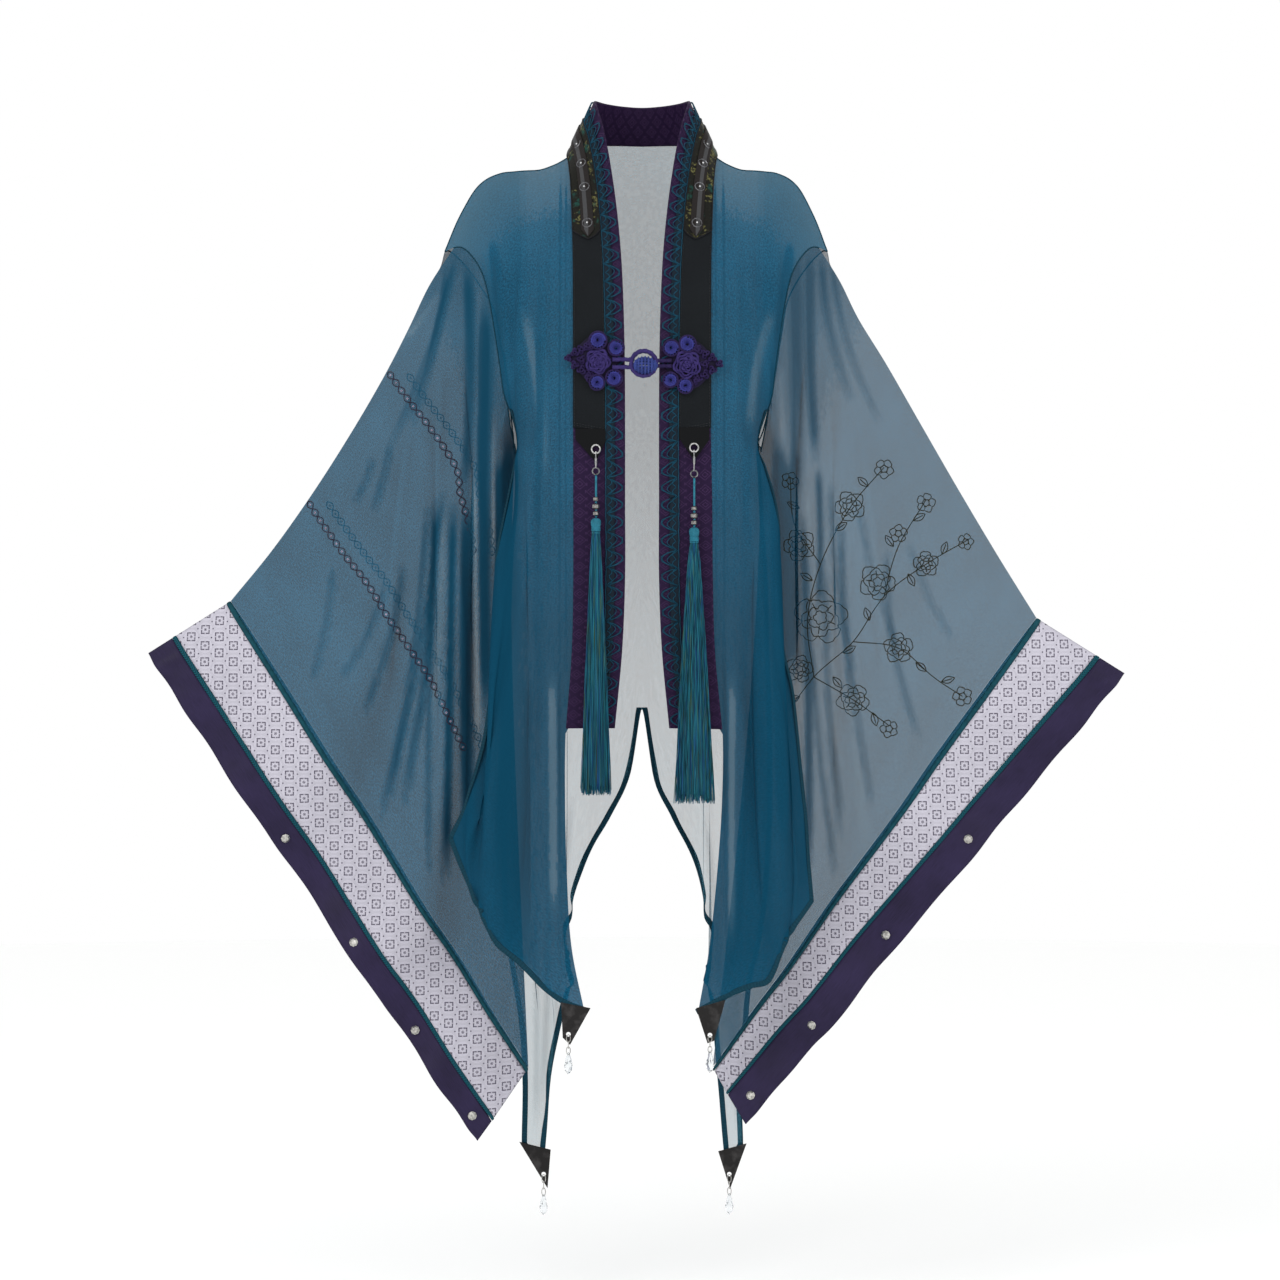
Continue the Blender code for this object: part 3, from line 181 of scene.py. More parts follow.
class Wall:
    """A cloth solid's outer wall as rows and columns of points, which can be drawn as fine as needed."""

    def __init__(self, points, column_breaks, probe, towards):
        self.points = np.array(points)
        self.row_breaks = (0, self.points.shape[0] - 1)
        self.column_breaks = column_breaks
        self.sign = 1.0
        _, normals = self.surface((probe[0], probe[0] + 0.1), (probe[1], probe[1] + 0.1))
        self.sign = 1.0 if normals[0, 0].dot(towards) > 0 else -1.0

    @property
    def last_row(self):
        return self.row_breaks[-1]

    @property
    def last_column(self):
        return self.column_breaks[-1]

    def weights(self, rows, columns):
        """How much each row and each column of the wall counts at the given places."""
        down = spline_weights(rows, self.points.shape[0], self.row_breaks)
        return down, spline_weights(columns, self.points.shape[1], self.column_breaks)

    def surface(self, rows, columns):
        """Points and outward normals at the given rows and columns, counted in the wall's own steps."""
        down, across = self.weights(rows, columns)
        points = np.einsum("ri,ijk,cj->rck", down, self.points, across)
        normals = np.cross(np.gradient(points, axis=1), np.gradient(points, axis=0))
        lengths = np.linalg.norm(normals, axis=2, keepdims=True)
        normals *= self.sign / np.maximum(lengths, 1e-12)
        return points, normals

    def dense(self, rows, columns):
        """The whole surface in as many even rows and columns."""
        return self.surface(np.linspace(0, self.last_row, rows), np.linspace(0, self.last_column, columns))

    def spot(self, rows, columns):
        down, across = self.weights(rows, columns)
        return np.einsum("ni,ijk,nj->nk", down, self.points, across)

    def at(self, rows, columns, lift=0.0):
        """Points and outward normals at single places, given as pairs of a row and a column."""
        given = [np.asarray(part, float) for part in (rows, columns, lift)]
        rows, columns, lift = np.broadcast_arrays(*given)
        r, c = rows.ravel(), columns.ravel()
        step = 0.02
        down = self.spot(r + step, c) - self.spot(r - step, c)
        across = self.spot(r, c + step) - self.spot(r, c - step)
        normals = unit(np.cross(across, down)) * self.sign
        places = self.spot(r, c) + normals * lift.ravel()[:, None]
        return places.reshape(*rows.shape, 3), normals.reshape(*rows.shape, 3)


def unit(vectors):
    return vectors / np.maximum(np.linalg.norm(vectors, axis=-1, keepdims=True), 1e-12)


def coordinates(rows):
    return [[tuple(vertex.co) for vertex in row] for row in rows]


def open_wall(node, towards, corner, heading, size):
    """Reads an open sheet. The top row starts at the rim vertex with the highest corner score."""
    bm = outward_wall(node, Vector(towards))
    row_count, column_count = size
    first = max(rim_vertices(bm), key=lambda vertex: corner(vertex.co))
    ahead = Vector(heading)
    line = [first, max(rim_neighbours(first), key=lambda vertex: (vertex.co - first.co).dot(ahead))]
    while len(line) < column_count:
        line.append(next(vertex for vertex in rim_neighbours(line[-1]) if vertex is not line[-2]))
    rows = [line]
    for members in rows_below(line)[1:]:
        above = set(neighbours(rows[-1][0], members))
        ends = [vertex for vertex in members if len(neighbours(vertex, members)) == 1]
        start = next((vertex for vertex in ends if vertex in above), ends[0])
        rows.append(in_order(members, start))
    if len(rows) != row_count or any(len(row) != column_count for row in rows):
        raise RuntimeError(f"{node} isn't {row_count} rows of {column_count} points")
    points = coordinates(rows)
    bm.free()
    middle = (row_count // 2, column_count // 2) if column_count > 6 else (1, 2)
    return Wall(points, (0, column_count - 1), middle, Vector(towards))


def ring_wall(node, row_count):
    """Reads a tube of cloth. Its first row is the end nearer the shoulder, its first column the top fold."""
    bm = outward_wall(node, None)
    rim = rim_vertices(bm)
    one = {next(iter(rim))}
    while True:
        wider = one | {other for vertex in one for other in rim_neighbours(vertex)}
        if wider == one:
            break
        one = wider
    ends = sorted((one, rim - one), key=lambda loop: sum(abs(vertex.co.x) for vertex in loop) / len(loop))
    rows = []
    for members in rows_below(ends[0]):
        top = max(members, key=lambda vertex: vertex.co.z)
        ahead = min(neighbours(top, members), key=lambda vertex: vertex.co.y)
        rows.append(in_order(members, top, ahead))
    if len(rows) != row_count or any(len(row) != RING_COLUMNS for row in rows):
        raise RuntimeError(f"{node} isn't {row_count} rings of {RING_COLUMNS} points")
    points = coordinates(rows)
    bm.free()
    return Wall(points, (0, HALF_RING, RING_COLUMNS), (row_count // 2, HALF_RING // 2), Vector((0, -1, 0)))


def front_wall(side):
    return open_wall(f"front_{side}", (0, -1, 0), lambda p: p.z, (SIDES[side], 0, 0), FRONT_WALL)


def back_wall():
    return open_wall("back", (0, 1, 0), lambda p: 0.3 * p.z - p.x, (0, 0, 1), BACK_WALL)


def collar_wall():
    """The collar from its left end up round the neck and down to its right end, from the inner edge out."""
    return open_wall(
        "collar_base", (0, -1, 0), lambda p: -p.z - 0.3 * abs(p.x) - (p.x > 0), (-1, 0, 0), COLLAR_WALL
    )


# Making meshes


def lengths_along(points):
    """How far each point of a line lies from its start."""
    return np.concatenate(([0.0], np.cumsum(np.linalg.norm(np.diff(points, axis=0), axis=1))))


def add_grid(bm, points, outward=None):
    """Lays faces through rows and columns of points. The UV map is in metres along the middle lines."""
    row_count, column_count = points.shape[:2]
    layer = bm.loops.layers.uv.verify()
    made = bmesh.ops.create_grid(
        bm, x_segments=column_count - 1, y_segments=row_count - 1, size=0.5, calc_uvs=True
    )["verts"]
    for vertex, place in zip(made, points.reshape(-1, 3)):
        vertex.co = place
    across = lengths_along(points[row_count // 2])
    down = lengths_along(points[:, column_count // 2])
    faces = list(dict.fromkeys(face for vertex in made for face in vertex.link_faces))
    for face in faces:
        face.smooth = True
        for loop in face.loops:
            part = loop[layer].uv
            column, row = round(part[0] * (column_count - 1)), round(part[1] * (row_count - 1))
            loop[layer].uv = (across[column], down[row])
    if outward is not None:
        row, column = row_count // 2, column_count // 4
        face = made[row * column_count + column].link_faces[0]
        face.normal_update()
        if face.normal.dot(Vector(outward[row, column])) < 0:
            bmesh.ops.reverse_faces(bm, faces=faces)
    return made


def finish_piece(bm, name, materials, body="root", replaces=()):
    """Makes the bmesh a visible piece that rides on a body."""
    mesh = bpy.data.meshes.new(name)
    bm.to_mesh(mesh)
    bm.free()
    piece = bpy.data.objects.new(name, mesh)
    bpy.context.scene.collection.objects.link(piece)
    for material in materials if isinstance(materials, (list, tuple)) else (materials,):
        mesh.materials.append(material)
    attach(piece, body)
    if replaces:
        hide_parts(*replaces)
    return piece


def thicken(piece, thickness):
    """Gives an opaque cloth its thickness, inwards from the surface that shows."""
    wall = piece.modifiers.new("Thickness", "SOLIDIFY")
    wall.thickness = thickness
    wall.offset = -1.0
    wall.use_rim = True
    return piece


def path_frames(path, closed=False):
    """Two directions square to a path at each of its points, which don't spin as it bends."""
    ahead = np.gradient(path, axis=0)
    if closed:
        ahead[0] = ahead[-1] = path[1] - path[-2]
    ahead = unit(ahead)
    start = np.array((0.0, 1.0, 0.0)) if abs(ahead[0][1]) < 0.8 else np.array((1.0, 0.0, 0.0))
    side = unit(start - ahead[0] * start.dot(ahead[0]))
    sides = [side]
    for direction in ahead[1:]:
        side = unit(side - direction * side.dot(direction))
        sides.append(side)
    sides = np.array(sides)
    return sides, np.cross(ahead, sides)


def capped(rings, start, end):
    """The rings with one point at each end, which closes the tube that they make."""
    width = (1, rings.shape[1], 3)
    return np.concatenate((np.broadcast_to(start, width), rings, np.broadcast_to(end, width)))


def add_tube(bm, path, radius, sides=8, closed=False, flat=1.0, lobes=0, lobe=0.0, turns=0.0, across=None):
    """Lays a tube along a path. Lobes that turn along it make a twisted cord."""
    path = np.asarray(path, dtype=float)
    count = len(path)
    radius = np.broadcast_to(np.asarray(radius, dtype=float), (count,))
    first, second = path_frames(path, closed) if across is None else across
    angles = np.linspace(0, 2 * math.pi, sides + 1)
    along = lengths_along(path)
    swell = 1 + lobe * np.cos(lobes * angles[None, :] + turns * along[:, None])
    reach = radius[:, None] * swell
    rings = (
        path[:, None, :]
        + first[:, None, :] * (reach * np.cos(angles))[:, :, None]
        + second[:, None, :] * (reach * np.sin(angles) * flat)[:, :, None]
    )
    if not closed:
        rings = capped(rings, path[0], path[-1])
    made = add_grid(bm, rings)
    bmesh.ops.remove_doubles(bm, verts=made, dist=FINE_WELD)


def close_up(bm):
    """Merges what meets and points all faces outwards."""
    bmesh.ops.remove_doubles(bm, verts=bm.verts, dist=FINE_WELD)
    bmesh.ops.recalc_face_normals(bm, faces=bm.faces)
    return bm


# Materials


def math_node(operation):
    """A method that lays one Math node over its field and any others."""
    return lambda self, *others: self.paint.math(operation, self, *others)


class Field:
    """A number in a material's node tree. Sums on fields lay Math nodes."""

    def __init__(self, paint, socket):
        self.paint = paint
        self.socket = socket

    __add__ = math_node("ADD")
    __sub__ = math_node("SUBTRACT")
    __mul__ = math_node("MULTIPLY")
    __truediv__ = math_node("DIVIDE")
    __lt__ = math_node("LESS_THAN")
    __gt__ = math_node("GREATER_THAN")
    __abs__ = math_node("ABSOLUTE")
    either = math_node("MAXIMUM")
    both = math_node("MINIMUM")
    whole = math_node("FLOOR")
    fraction = math_node("FRACT")
    left_over = math_node("MODULO")
    root = math_node("SQRT")

    def cell(self):
        """How far the value lies from the middle of its whole step, from -0.5 to 0.5."""
        return self.fraction() - 0.5

    def rib(self, low, high):
        """1 along the middle of each whole step, and 0 beside it."""
        return self.paint.between(abs(self.cell()), low, high, 1.0, 0.0)


class Paint:
    """A material with one Principled shader, and short ways to lay nodes into it."""

    def __init__(self, name, sockets):
        self.material = bpy.data.materials.new(name)
        self.material.use_nodes = True
        self.tree = self.material.node_tree
        self.shader = self.tree.nodes["Principled BSDF"]
        for socket, value in sockets.items():
            if socket.endswith(("Color", "Tint")) and len(value) == 3:
                value = (*value, 1.0)
            self.shader.inputs[socket].default_value = value

    def node(self, kind, inputs=(), **settings):
        node = self.tree.nodes.new(kind)
        for name, value in settings.items():
            setattr(node, name, value)
        for name, value in dict(inputs).items():
            self.feed(node.inputs[name], value)
        return node

    def feed(self, socket, value):
        if isinstance(value, Field):
            value = value.socket
        if isinstance(value, bpy.types.NodeSocket):
            self.tree.links.new(value, socket)
        elif isinstance(value, tuple) and len(value) == 3 and socket.type == "RGBA":
            socket.default_value = (*value, 1.0)
        else:
            socket.default_value = value

    def math(self, operation, *values):
        node = self.node("ShaderNodeMath", operation=operation)
        for socket, value in zip(node.inputs, values):
            self.feed(socket, value)
        return Field(self, node.outputs[0])

    def place(self, source="Object", scale=(1, 1, 1)):
        """Object or UV coordinates, scaled."""
        origin = self.node("ShaderNodeTexCoord").outputs[source]
        mapping = self.node("ShaderNodeMapping", {"Vector": origin, "Scale": scale})
        return mapping.outputs[0]

    def split(self, vector):
        parts = self.node("ShaderNodeSeparateXYZ", {"Vector": vector})
        return tuple(Field(self, socket) for socket in parts.outputs)

    def noise(self, vector, scale, detail=2.0, roughness=0.5):
        inputs = {"Vector": vector, "Scale": scale, "Detail": detail, "Roughness": roughness}
        return Field(self, self.node("ShaderNodeTexNoise", inputs).outputs[0])

    def pebbles(self, vector, scale):
        made = self.node("ShaderNodeTexVoronoi", {"Vector": vector, "Scale": scale})
        return Field(self, made.outputs["Distance"])

    def attribute(self, name):
        made = self.node("ShaderNodeAttribute", attribute_name=name)
        return Field(self, made.outputs["Fac"])

    def mix(self, share, first, second):
        made = self.node("ShaderNodeMix", data_type="RGBA")
        self.feed(made.inputs["Factor"], share)
        self.feed(made.inputs[6], first)
        self.feed(made.inputs[7], second)
        return made.outputs[2]

    def between(self, value, low, high, start=0.0, end=1.0):
        """Maps a value's range to another, held at both ends."""
        inputs = {"Value": value, "From Min": low, "From Max": high, "To Min": start, "To Max": end}
        return Field(self, self.node("ShaderNodeMapRange", inputs).outputs[0])

    def tint(self, light, colour, dark, bright, low=None, high=None):
        """A darker to a brighter shade of a colour as light grows, within two values if they are given."""
        share = light if low is None else self.between(light, low, high)
        return self.mix(share, shade(colour, dark), shade(colour, bright))

    def colour(self, source):
        self.feed(self.shader.inputs["Base Color"], source)

    def roughness(self, source):
        self.feed(self.shader.inputs["Roughness"], source)

    def bump(self, height, distance, strength=1.0):
        made = self.node("ShaderNodeBump", {"Height": height, "Distance": distance, "Strength": strength})
        self.feed(self.shader.inputs["Normal"], made.outputs[0])


def shade(colour, factor):
    return tuple(min(1.0, part * factor) for part in colour)


def chiffon(name, colour, alpha, deep, pale, shaded_zone=None):
    """Sheer crepe: a pebbled weave with cloudy dye, with painted shade in its folds and painted light along
    its pale streaks.

    A shaded zone, top and bottom in metres, is where a second cloth hangs behind; there painted shade
    darkens the cloth.
    """
    paint = Paint(name, {"Roughness": 0.9, "Alpha": alpha, "Specular IOR Level": 0.03})
    flat = paint.place("UV")
    grain = paint.noise(flat, 520.0, 1.5)
    clouds = paint.noise(flat, 9.0, 3.0)
    slubs = paint.noise(paint.place("UV", (90.0, 900.0, 1.0)), 1.0, 2.0)
    light = grain * 0.6 + clouds * 0.25 + slubs * 0.15
    tint = paint.tint(light, colour, 0.66, 1.38, 0.40, 0.60)
    if shaded_zone:
        # Painted shade where a second cloth hangs behind
        _, _, z = paint.split(paint.place("Object"))
        top = paint.between(z, shaded_zone[0] - 0.12, shaded_zone[0] + 0.08, 1.0, 0.0)
        bottom = paint.between(z, shaded_zone[1] - 0.06, shaded_zone[1] + 0.10)
        tint = paint.mix(top * bottom * 0.75, tint, deep)
    # Painted shade and light: the fold mark darkens folds and shaded places towards the fold shade colour,
    # and pales the light streaks
    fold = paint.attribute("fold")
    folded = paint.mix(paint.between(fold, 0.5, 1.0, 0.0, 0.92), tint, deep)
    lightened = paint.mix(paint.between(fold, 0.5, 0.0, 0.0, 0.85), folded, pale)
    paint.colour(lightened)
    paint.bump(grain + slubs * 0.5, 0.0005, 0.5)
    return paint.material


def rolled_cloth(name, colour):
    """A rolled, stitched chiffon hem: dense, with small stitches along it."""
    paint = Paint(name, {"Roughness": 0.85, "Specular IOR Level": 0.06})
    _, v, _ = paint.split(paint.place("UV"))
    grain = paint.noise(paint.place("UV"), 500.0, 2.0)
    stitch = (v * 260.0).rib(0.16, 0.30)
    paint.colour(paint.tint(grain * 0.8 + stitch * 0.2, colour, 0.55, 1.5))
    paint.bump(grain * 0.6 + stitch * 0.4, 0.0005, 0.6)
    return paint.material


# Folds


def ease(value):
    value = np.clip(value, 0.0, 1.0)
    return value * value * (3 - 2 * value)


def shares(rows, columns):
    """How far across each column and how far down each row of a grid lies, from 0 to 1."""
    return np.linspace(0, 1, columns)[None, :], np.linspace(0, 1, rows)[:, None]


def beside_line(points, line):
    """How far along a bowed line each point lies, from 0 to 1, how far beside it, and the way beside it."""
    start = np.array((line.x0, line.z0)) * MM
    run = np.array((line.x1, line.z1)) * MM - start
    length = np.linalg.norm(run)
    ahead = run / length
    beside = np.array((-ahead[1], ahead[0]))
    seen = points[:, :, (0, 2)] - start
    along = seen @ ahead / length
    away = seen @ beside - line.bow * MM * np.sin(math.pi * np.clip(along, 0, 1))
    return along, away, beside


# A fold's ends and bow in the front view, its width, its depth, and the tuck that pulls the cloth over it
Fold = namedtuple("Fold", "x0 z0 x1 z1 bow width depth tuck")


def drape(points, normals, folds, hold, strength):
    """Presses soft troughs and ridges into a sheet along lines seen from the front."""
    places = points.copy()
    for fold in map(Fold._make, folds):
        along, away, beside = beside_line(points, fold)
        lead = ease(along / 0.22) * ease((1 - along) / 0.30)
        wide = fold.width * MM * (0.75 + 0.5 * np.clip(along, 0, 1))
        bell = np.exp(-((away / wide) ** 2)) * lead * hold * strength
        places += normals * (fold.depth * MM * bell)[:, :, None]
        slide = fold.tuck * away * bell
        places[:, :, 0] -= slide * beside[0]
        places[:, :, 2] -= slide * beside[1]
        places += normals * (fold.tuck * 0.35 * away * bell)[:, :, None]
    return places


# Where folds bunch or thin the cloth: a dark streak is painted shade in a fold and a light streak hides less
# and is painted light, while the narrow dark lines near each front's inner edge follow its facing. A
# streak's tone is dark above nought and light below it
Streak = namedtuple("Streak", "x0 z0 x1 z1 bow width tone")
STREAKS = {
    "sleeve_left": (
        (-218, -130, -224, -420, 5, 7, 0.5), (-196, -180, -196, -700, -4, 9, 0.9),
        (-178, -370, -184, -700, 2, 8, 1.0), (-168, -344, -180, -890, 5, 9, 0.9),
        (-220, -420, -218, -880, -3, 9, 0.75), (-233, -420, -242, -900, -4, 4, 0.5),
        (-240, -424, -250, -900, 5, 5, 0.55), (-255, -418, -266, -900, -6, 4, 0.4),
        (-260, -418, -300, -810, 10, 4, 0.6), (-268, -423, -330, -830, 10, 4, 0.45),
        (-248, -405, -320, -800, 6, 4, 0.45), (-298, -500, -350, -690, 8, 4, 0.40),
        (-318, -520, -382, -650, 8, 4, 0.30), (-385, -500, -414, -650, 5, 4, 0.30),
        (-233, -118, -314, -350, 8, 4, 0.40), (-244, -132, -290, -330, 6, 4, 0.40),
        (-314, -345, -338, -436, 3, 4, 0.35), (-336, -365, -360, -425, 3, 4, 0.30),
        (-208, -391, -207, -730, 0, 6, -0.34), (-186, -303, -186, -500, 0, 3, -0.30),
        (-252, -160, -300, -220, 3, 6, -0.15), (-250, -430, -262, -700, 4, 5, -0.14),
        (-205, -150, -206, -330, 2, 5, -0.18),
    ),
    "sleeve_right": (
        (207, -120, 216, -370, -3, 6, 0.7), (186, -110, 190, -420, 3, 8, 0.6),
        (178, -369, 184, -650, 0, 15, 0.75), (168, -344, 176, -860, -4, 9, 0.9),
        (219, -380, 220, -560, 2, 4, 0.75), (201, -440, 206, -900, 3, 6, 0.8),
        (211, -600, 243, -900, -4, 4, 0.45), (227, -500, 250, -850, -5, 4, 0.50),
        (247, -440, 288, -810, -10, 4, 0.55), (234, -395, 262, -640, -6, 4, 0.35),
        (304, -480, 346, -720, -12, 4, 0.45), (268, -420, 320, -610, -6, 4, 0.30),
        (330, -470, 392, -600, -6, 4, 0.25), (222, -120, 262, -300, -8, 5, 0.35),
        (236, -130, 300, -330, -10, 4, 0.30), (190, -245, 194, -370, 0, 4, -0.28),
        (171, -255, 175, -360, 0, 5, -0.28), (206, -410, 208, -590, 0, 3, -0.20),
        (262, -660, 280, -860, -3, 7, -0.12), (235, -600, 248, -760, -3, 4, -0.12),
    ),
    "front_left": (
        (-186, -106, -170, -380, 5, 6, 0.35), (-160, -370, -166, -560, 0, 13, 0.8),
        (-168, -500, -160, -1000, -4, 25, 0.8), (-138, -640, -142, -1030, -4, 7, 0.45),
        (-128, -206, -132, -470, 4, 5, 0.25), (-101, -19, -101, -940, 0, 1.6, 0.6),
        (-94, -19, -93, -700, 0, 1.2, 0.5), (-111, -640, -110, -930, 0, 6, -0.22),
        (-146, -190, -122, -400, 6, 8, -0.14),
    ),
    "front_right": (
        (182, -106, 168, -300, -5, 6, 0.35), (160, -250, 158, -380, 0, 4, 0.7),
        (172, -380, 176, -700, 0, 9, 0.8), (180, -660, 186, -920, 0, 22, 0.6),
        (140, -660, 152, -1020, 6, 7, 0.5), (100, -19, 100, -900, 0, 1.6, 0.6),
        (90, -19, 90, -700, 0, 1.2, 0.5), (109, -640, 108, -960, 0, 5, -0.22),
        (158, -190, 130, -340, -6, 8, -0.14),
    ),
    "back": (
        (-178, -106, -165, -669, 5, 8, 0.6), (-128, -119, -130, -744, -5, 8, 0.5),
        (-52, -144, -58, -669, 4, 9, 0.4), (60, -144, 65, -669, -4, 9, 0.4),
        (128, -119, 125, -744, 5, 8, 0.5), (178, -106, 160, -669, -5, 8, 0.6),
        (-118, -694, -128, -1194, 4, 6, 0.6), (-90, -794, -112, -1119, -4, 5, 0.4),
        (-138, -869, -136, -1219, 2, 5, 0.5), (108, -694, 115, -1194, -4, 6, 0.6),
        (80, -819, 102, -1119, 4, 5, 0.4), (125, -869, 120, -1219, -2, 5, 0.5),
        (-102, -744, -118, -1044, 0, 5, -0.4), (92, -769, 108, -1069, 0, 5, -0.4),
    ),
}


def streak_tone(points, streaks):
    """How dark or light the streaks make each point, crisper on one side of a streak than on the other."""
    tone = np.zeros(points.shape[:2])
    for streak in map(Streak._make, streaks):
        along, away, _ = beside_line(points, streak)
        lead = ease((along + 0.04) / 0.16) * ease((1.04 - along) / 0.22)
        wide = streak.width * MM * np.where(away > 0, 1.1, 0.6)
        tone += streak.tone * np.exp(-np.abs(away / wide) ** 3) * lead
    return tone


def ripples(grid, size, count):
    """Fine uneven waves across a sheet, from a few fixed sines."""
    u, v = shares(*grid)
    swing = u + 0.05 * np.sin(5.1 * v + 0.7) + 0.02 * np.sin(13 * v)
    wave = np.sin(2 * math.pi * count * swing) + 0.6 * np.sin(2 * math.pi * count * 1.73 * swing + 1.9)
    return size * MM * wave * (0.35 + 0.65 * v)


def lay_covers(piece, cover, covers):
    """Gives each face the cloth whose cover is nearest to what the place asks for."""
    mesh = piece.data
    corners = np.empty(len(mesh.loops), dtype=np.int32)
    mesh.loops.foreach_get("vertex_index", corners)
    wanted = cover.ravel()[corners.reshape(-1, 4)].mean(axis=1)
    wanted += np.random.default_rng(SEED).uniform(-COVER_SCATTER, COVER_SCATTER, wanted.shape)
    steps = np.abs(wanted[:, None] - np.array(covers)[None, :]).argmin(axis=1)
    mesh.polygons.foreach_set("material_index", steps.astype(np.int32))


def mark_painted_tone(piece, tone):
    """Keeps the painted tone on the mesh: 0 palest painted light, 0.5 plain cloth, 1 deepest painted shade.
    """
    layer = piece.data.attributes.new("fold", "FLOAT", "POINT")
    value = np.clip(0.5 + 0.5 * tone, 0, 1)
    layer.data.foreach_set("value", np.ascontiguousarray(value, dtype=np.float32).ravel())


# Settings


def dye(name, description, default):
    """A colour that the user can change."""
    return FloatVectorProperty(name=name, description=description, default=default, subtype="COLOR", size=3)


class ClothSettings(PropertyGroup):
    """Sizes and colours of the sheer cloth."""

    sleeve_colour: dye("Sleeve", "Dye of the sleeves", (0.020, 0.088, 0.150))
    front_colour: dye("Front", "Dye of the fronts", (0.006, 0.068, 0.128))
    back_colour: dye("Back", "Dye of the back", (0.045, 0.150, 0.205))
    hem_colour: dye("Hem", "Colour of the rolled hems", (0.008, 0.040, 0.062))
    # Painted shade: the fold shade colour in the folds, at the armholes and in the shaded zones. Painted
    # light: the light streak colour along the pale streaks; it also pales the fronts towards their shoulders
    fold_shade_colour: dye("Deep folds", "Dye in the deepest folds", (0.003, 0.046, 0.088))
    light_streak_colour: dye("Thin cloth", "Dye where the cloth thins", (0.14, 0.26, 0.33))
    # The right sleeve hides less than the left, so it looks lighter: partly because it hangs flatter, partly
    # painted light for its better-lit side
    sleeve_cover: FloatVectorProperty(
        name="Sleeve cover", description="How much one layer of the left and the right sleeve hides",
        default=(0.765, 0.63), min=0, max=1, size=2,
    )
    front_cover: FloatProperty(
        name="Front cover", description="How much one front hides", default=0.955, min=0, max=1
    )
    back_cover: FloatProperty(
        name="Back cover", description="How much the back hides", default=0.46, min=0, max=1
    )
    fold_depth: FloatProperty(
        name="Folds", description="Depth of the folds, 1 as worn", default=1.0, min=0, max=1.5
    )
    hem_width: FloatProperty(
        name="Hem width", description="Width of a rolled hem", default=7 * MM, unit="LENGTH"
    )


# Folds of each front
FRONT_FOLDS = {
    "left": (
        (-205, -110, -188, -420, -8, 9, -6, 0.6), (-180, -60, -176, -520, 6, 8, 5, 0.0),
        (-150, -40, -158, -560, -6, 10, -5, 0.5), (-122, -60, -128, -640, 5, 9, 4, 0.0),
        (-186, -400, -208, -930, 9, 10, -7, 1.3), (-166, -420, -182, -960, -7, 9, 6, 0.4),
        (-146, -380, -150, -1000, 8, 10, -7, 1.2), (-124, -330, -120, -1020, -6, 9, -6, 0.7),
        (-108, -600, -100, -1040, 4, 8, 5, 0.5), (-198, -560, -222, -860, 4, 8, 5, 0.3),
        (-136, -700, -138, -1010, 3, 7, 4, 0.9),
    ),
    "right": (
        (192, -110, 178, -430, 7, 9, -6, 0.5), (168, -60, 170, -500, -6, 8, 5, 0.0),
        (138, -40, 148, -580, 6, 10, -5, 0.5), (114, -80, 124, -620, -5, 9, 4, 0.0),
        (176, -400, 194, -900, -8, 10, -7, 1.2), (158, -380, 172, -940, 7, 9, 6, 0.4),
        (138, -420, 150, -1000, -7, 10, -7, 1.2), (118, -360, 122, -1000, 6, 9, -5, 0.6),
        (106, -560, 100, -1040, -4, 8, 5, 0.5), (186, -600, 206, -880, -4, 8, 5, 0.3),
    ),
}

# The fronts' inner edges lie under the collar down to its ends
COLLAR_END = -0.70
COLLAR_TUCK, COLLAR_SINK = 5 * MM, 2 * MM

# Heights between which a second cloth hangs behind each front, where the front is darkened as painted shade
SHADED_ZONES = {"left": (-0.46, -0.98), "right": (-0.44, -1.08)}

# Folds of the back. The two tails hang unlike
BACK_FOLDS = (
    (-196, -120, -166, -480, 9, 12, -6, 0.5), (-150, -90, -140, -560, -7, 12, 5, 0.2),
    (-90, -110, -96, -620, 6, 13, -5, 0.4), (-34, -150, -42, -700, -5, 14, 5, 0.2),
    (28, -120, 20, -660, 6, 13, -5, 0.4), (92, -100, 90, -640, -6, 12, 5, 0.2),
    (140, -90, 132, -540, 7, 12, -6, 0.5), (184, -120, 158, -470, -8, 11, 5, 0.3),
    (-158, -520, -150, -1180, 8, 11, -7, 1.1), (-126, -560, -124, -1230, -7, 10, 6, 0.4),
    (-92, -600, -104, -1200, 7, 11, -6, 1.0), (-56, -640, -78, -1100, -5, 10, 5, 0.3),
    (148, -520, 138, -1180, -8, 11, -7, 1.1), (118, -560, 118, -1230, 7, 10, 6, 0.4),
    (84, -600, 96, -1190, -7, 11, -6, 1.0), (50, -640, 70, -1080, 5, 10, 5, 0.3),
)

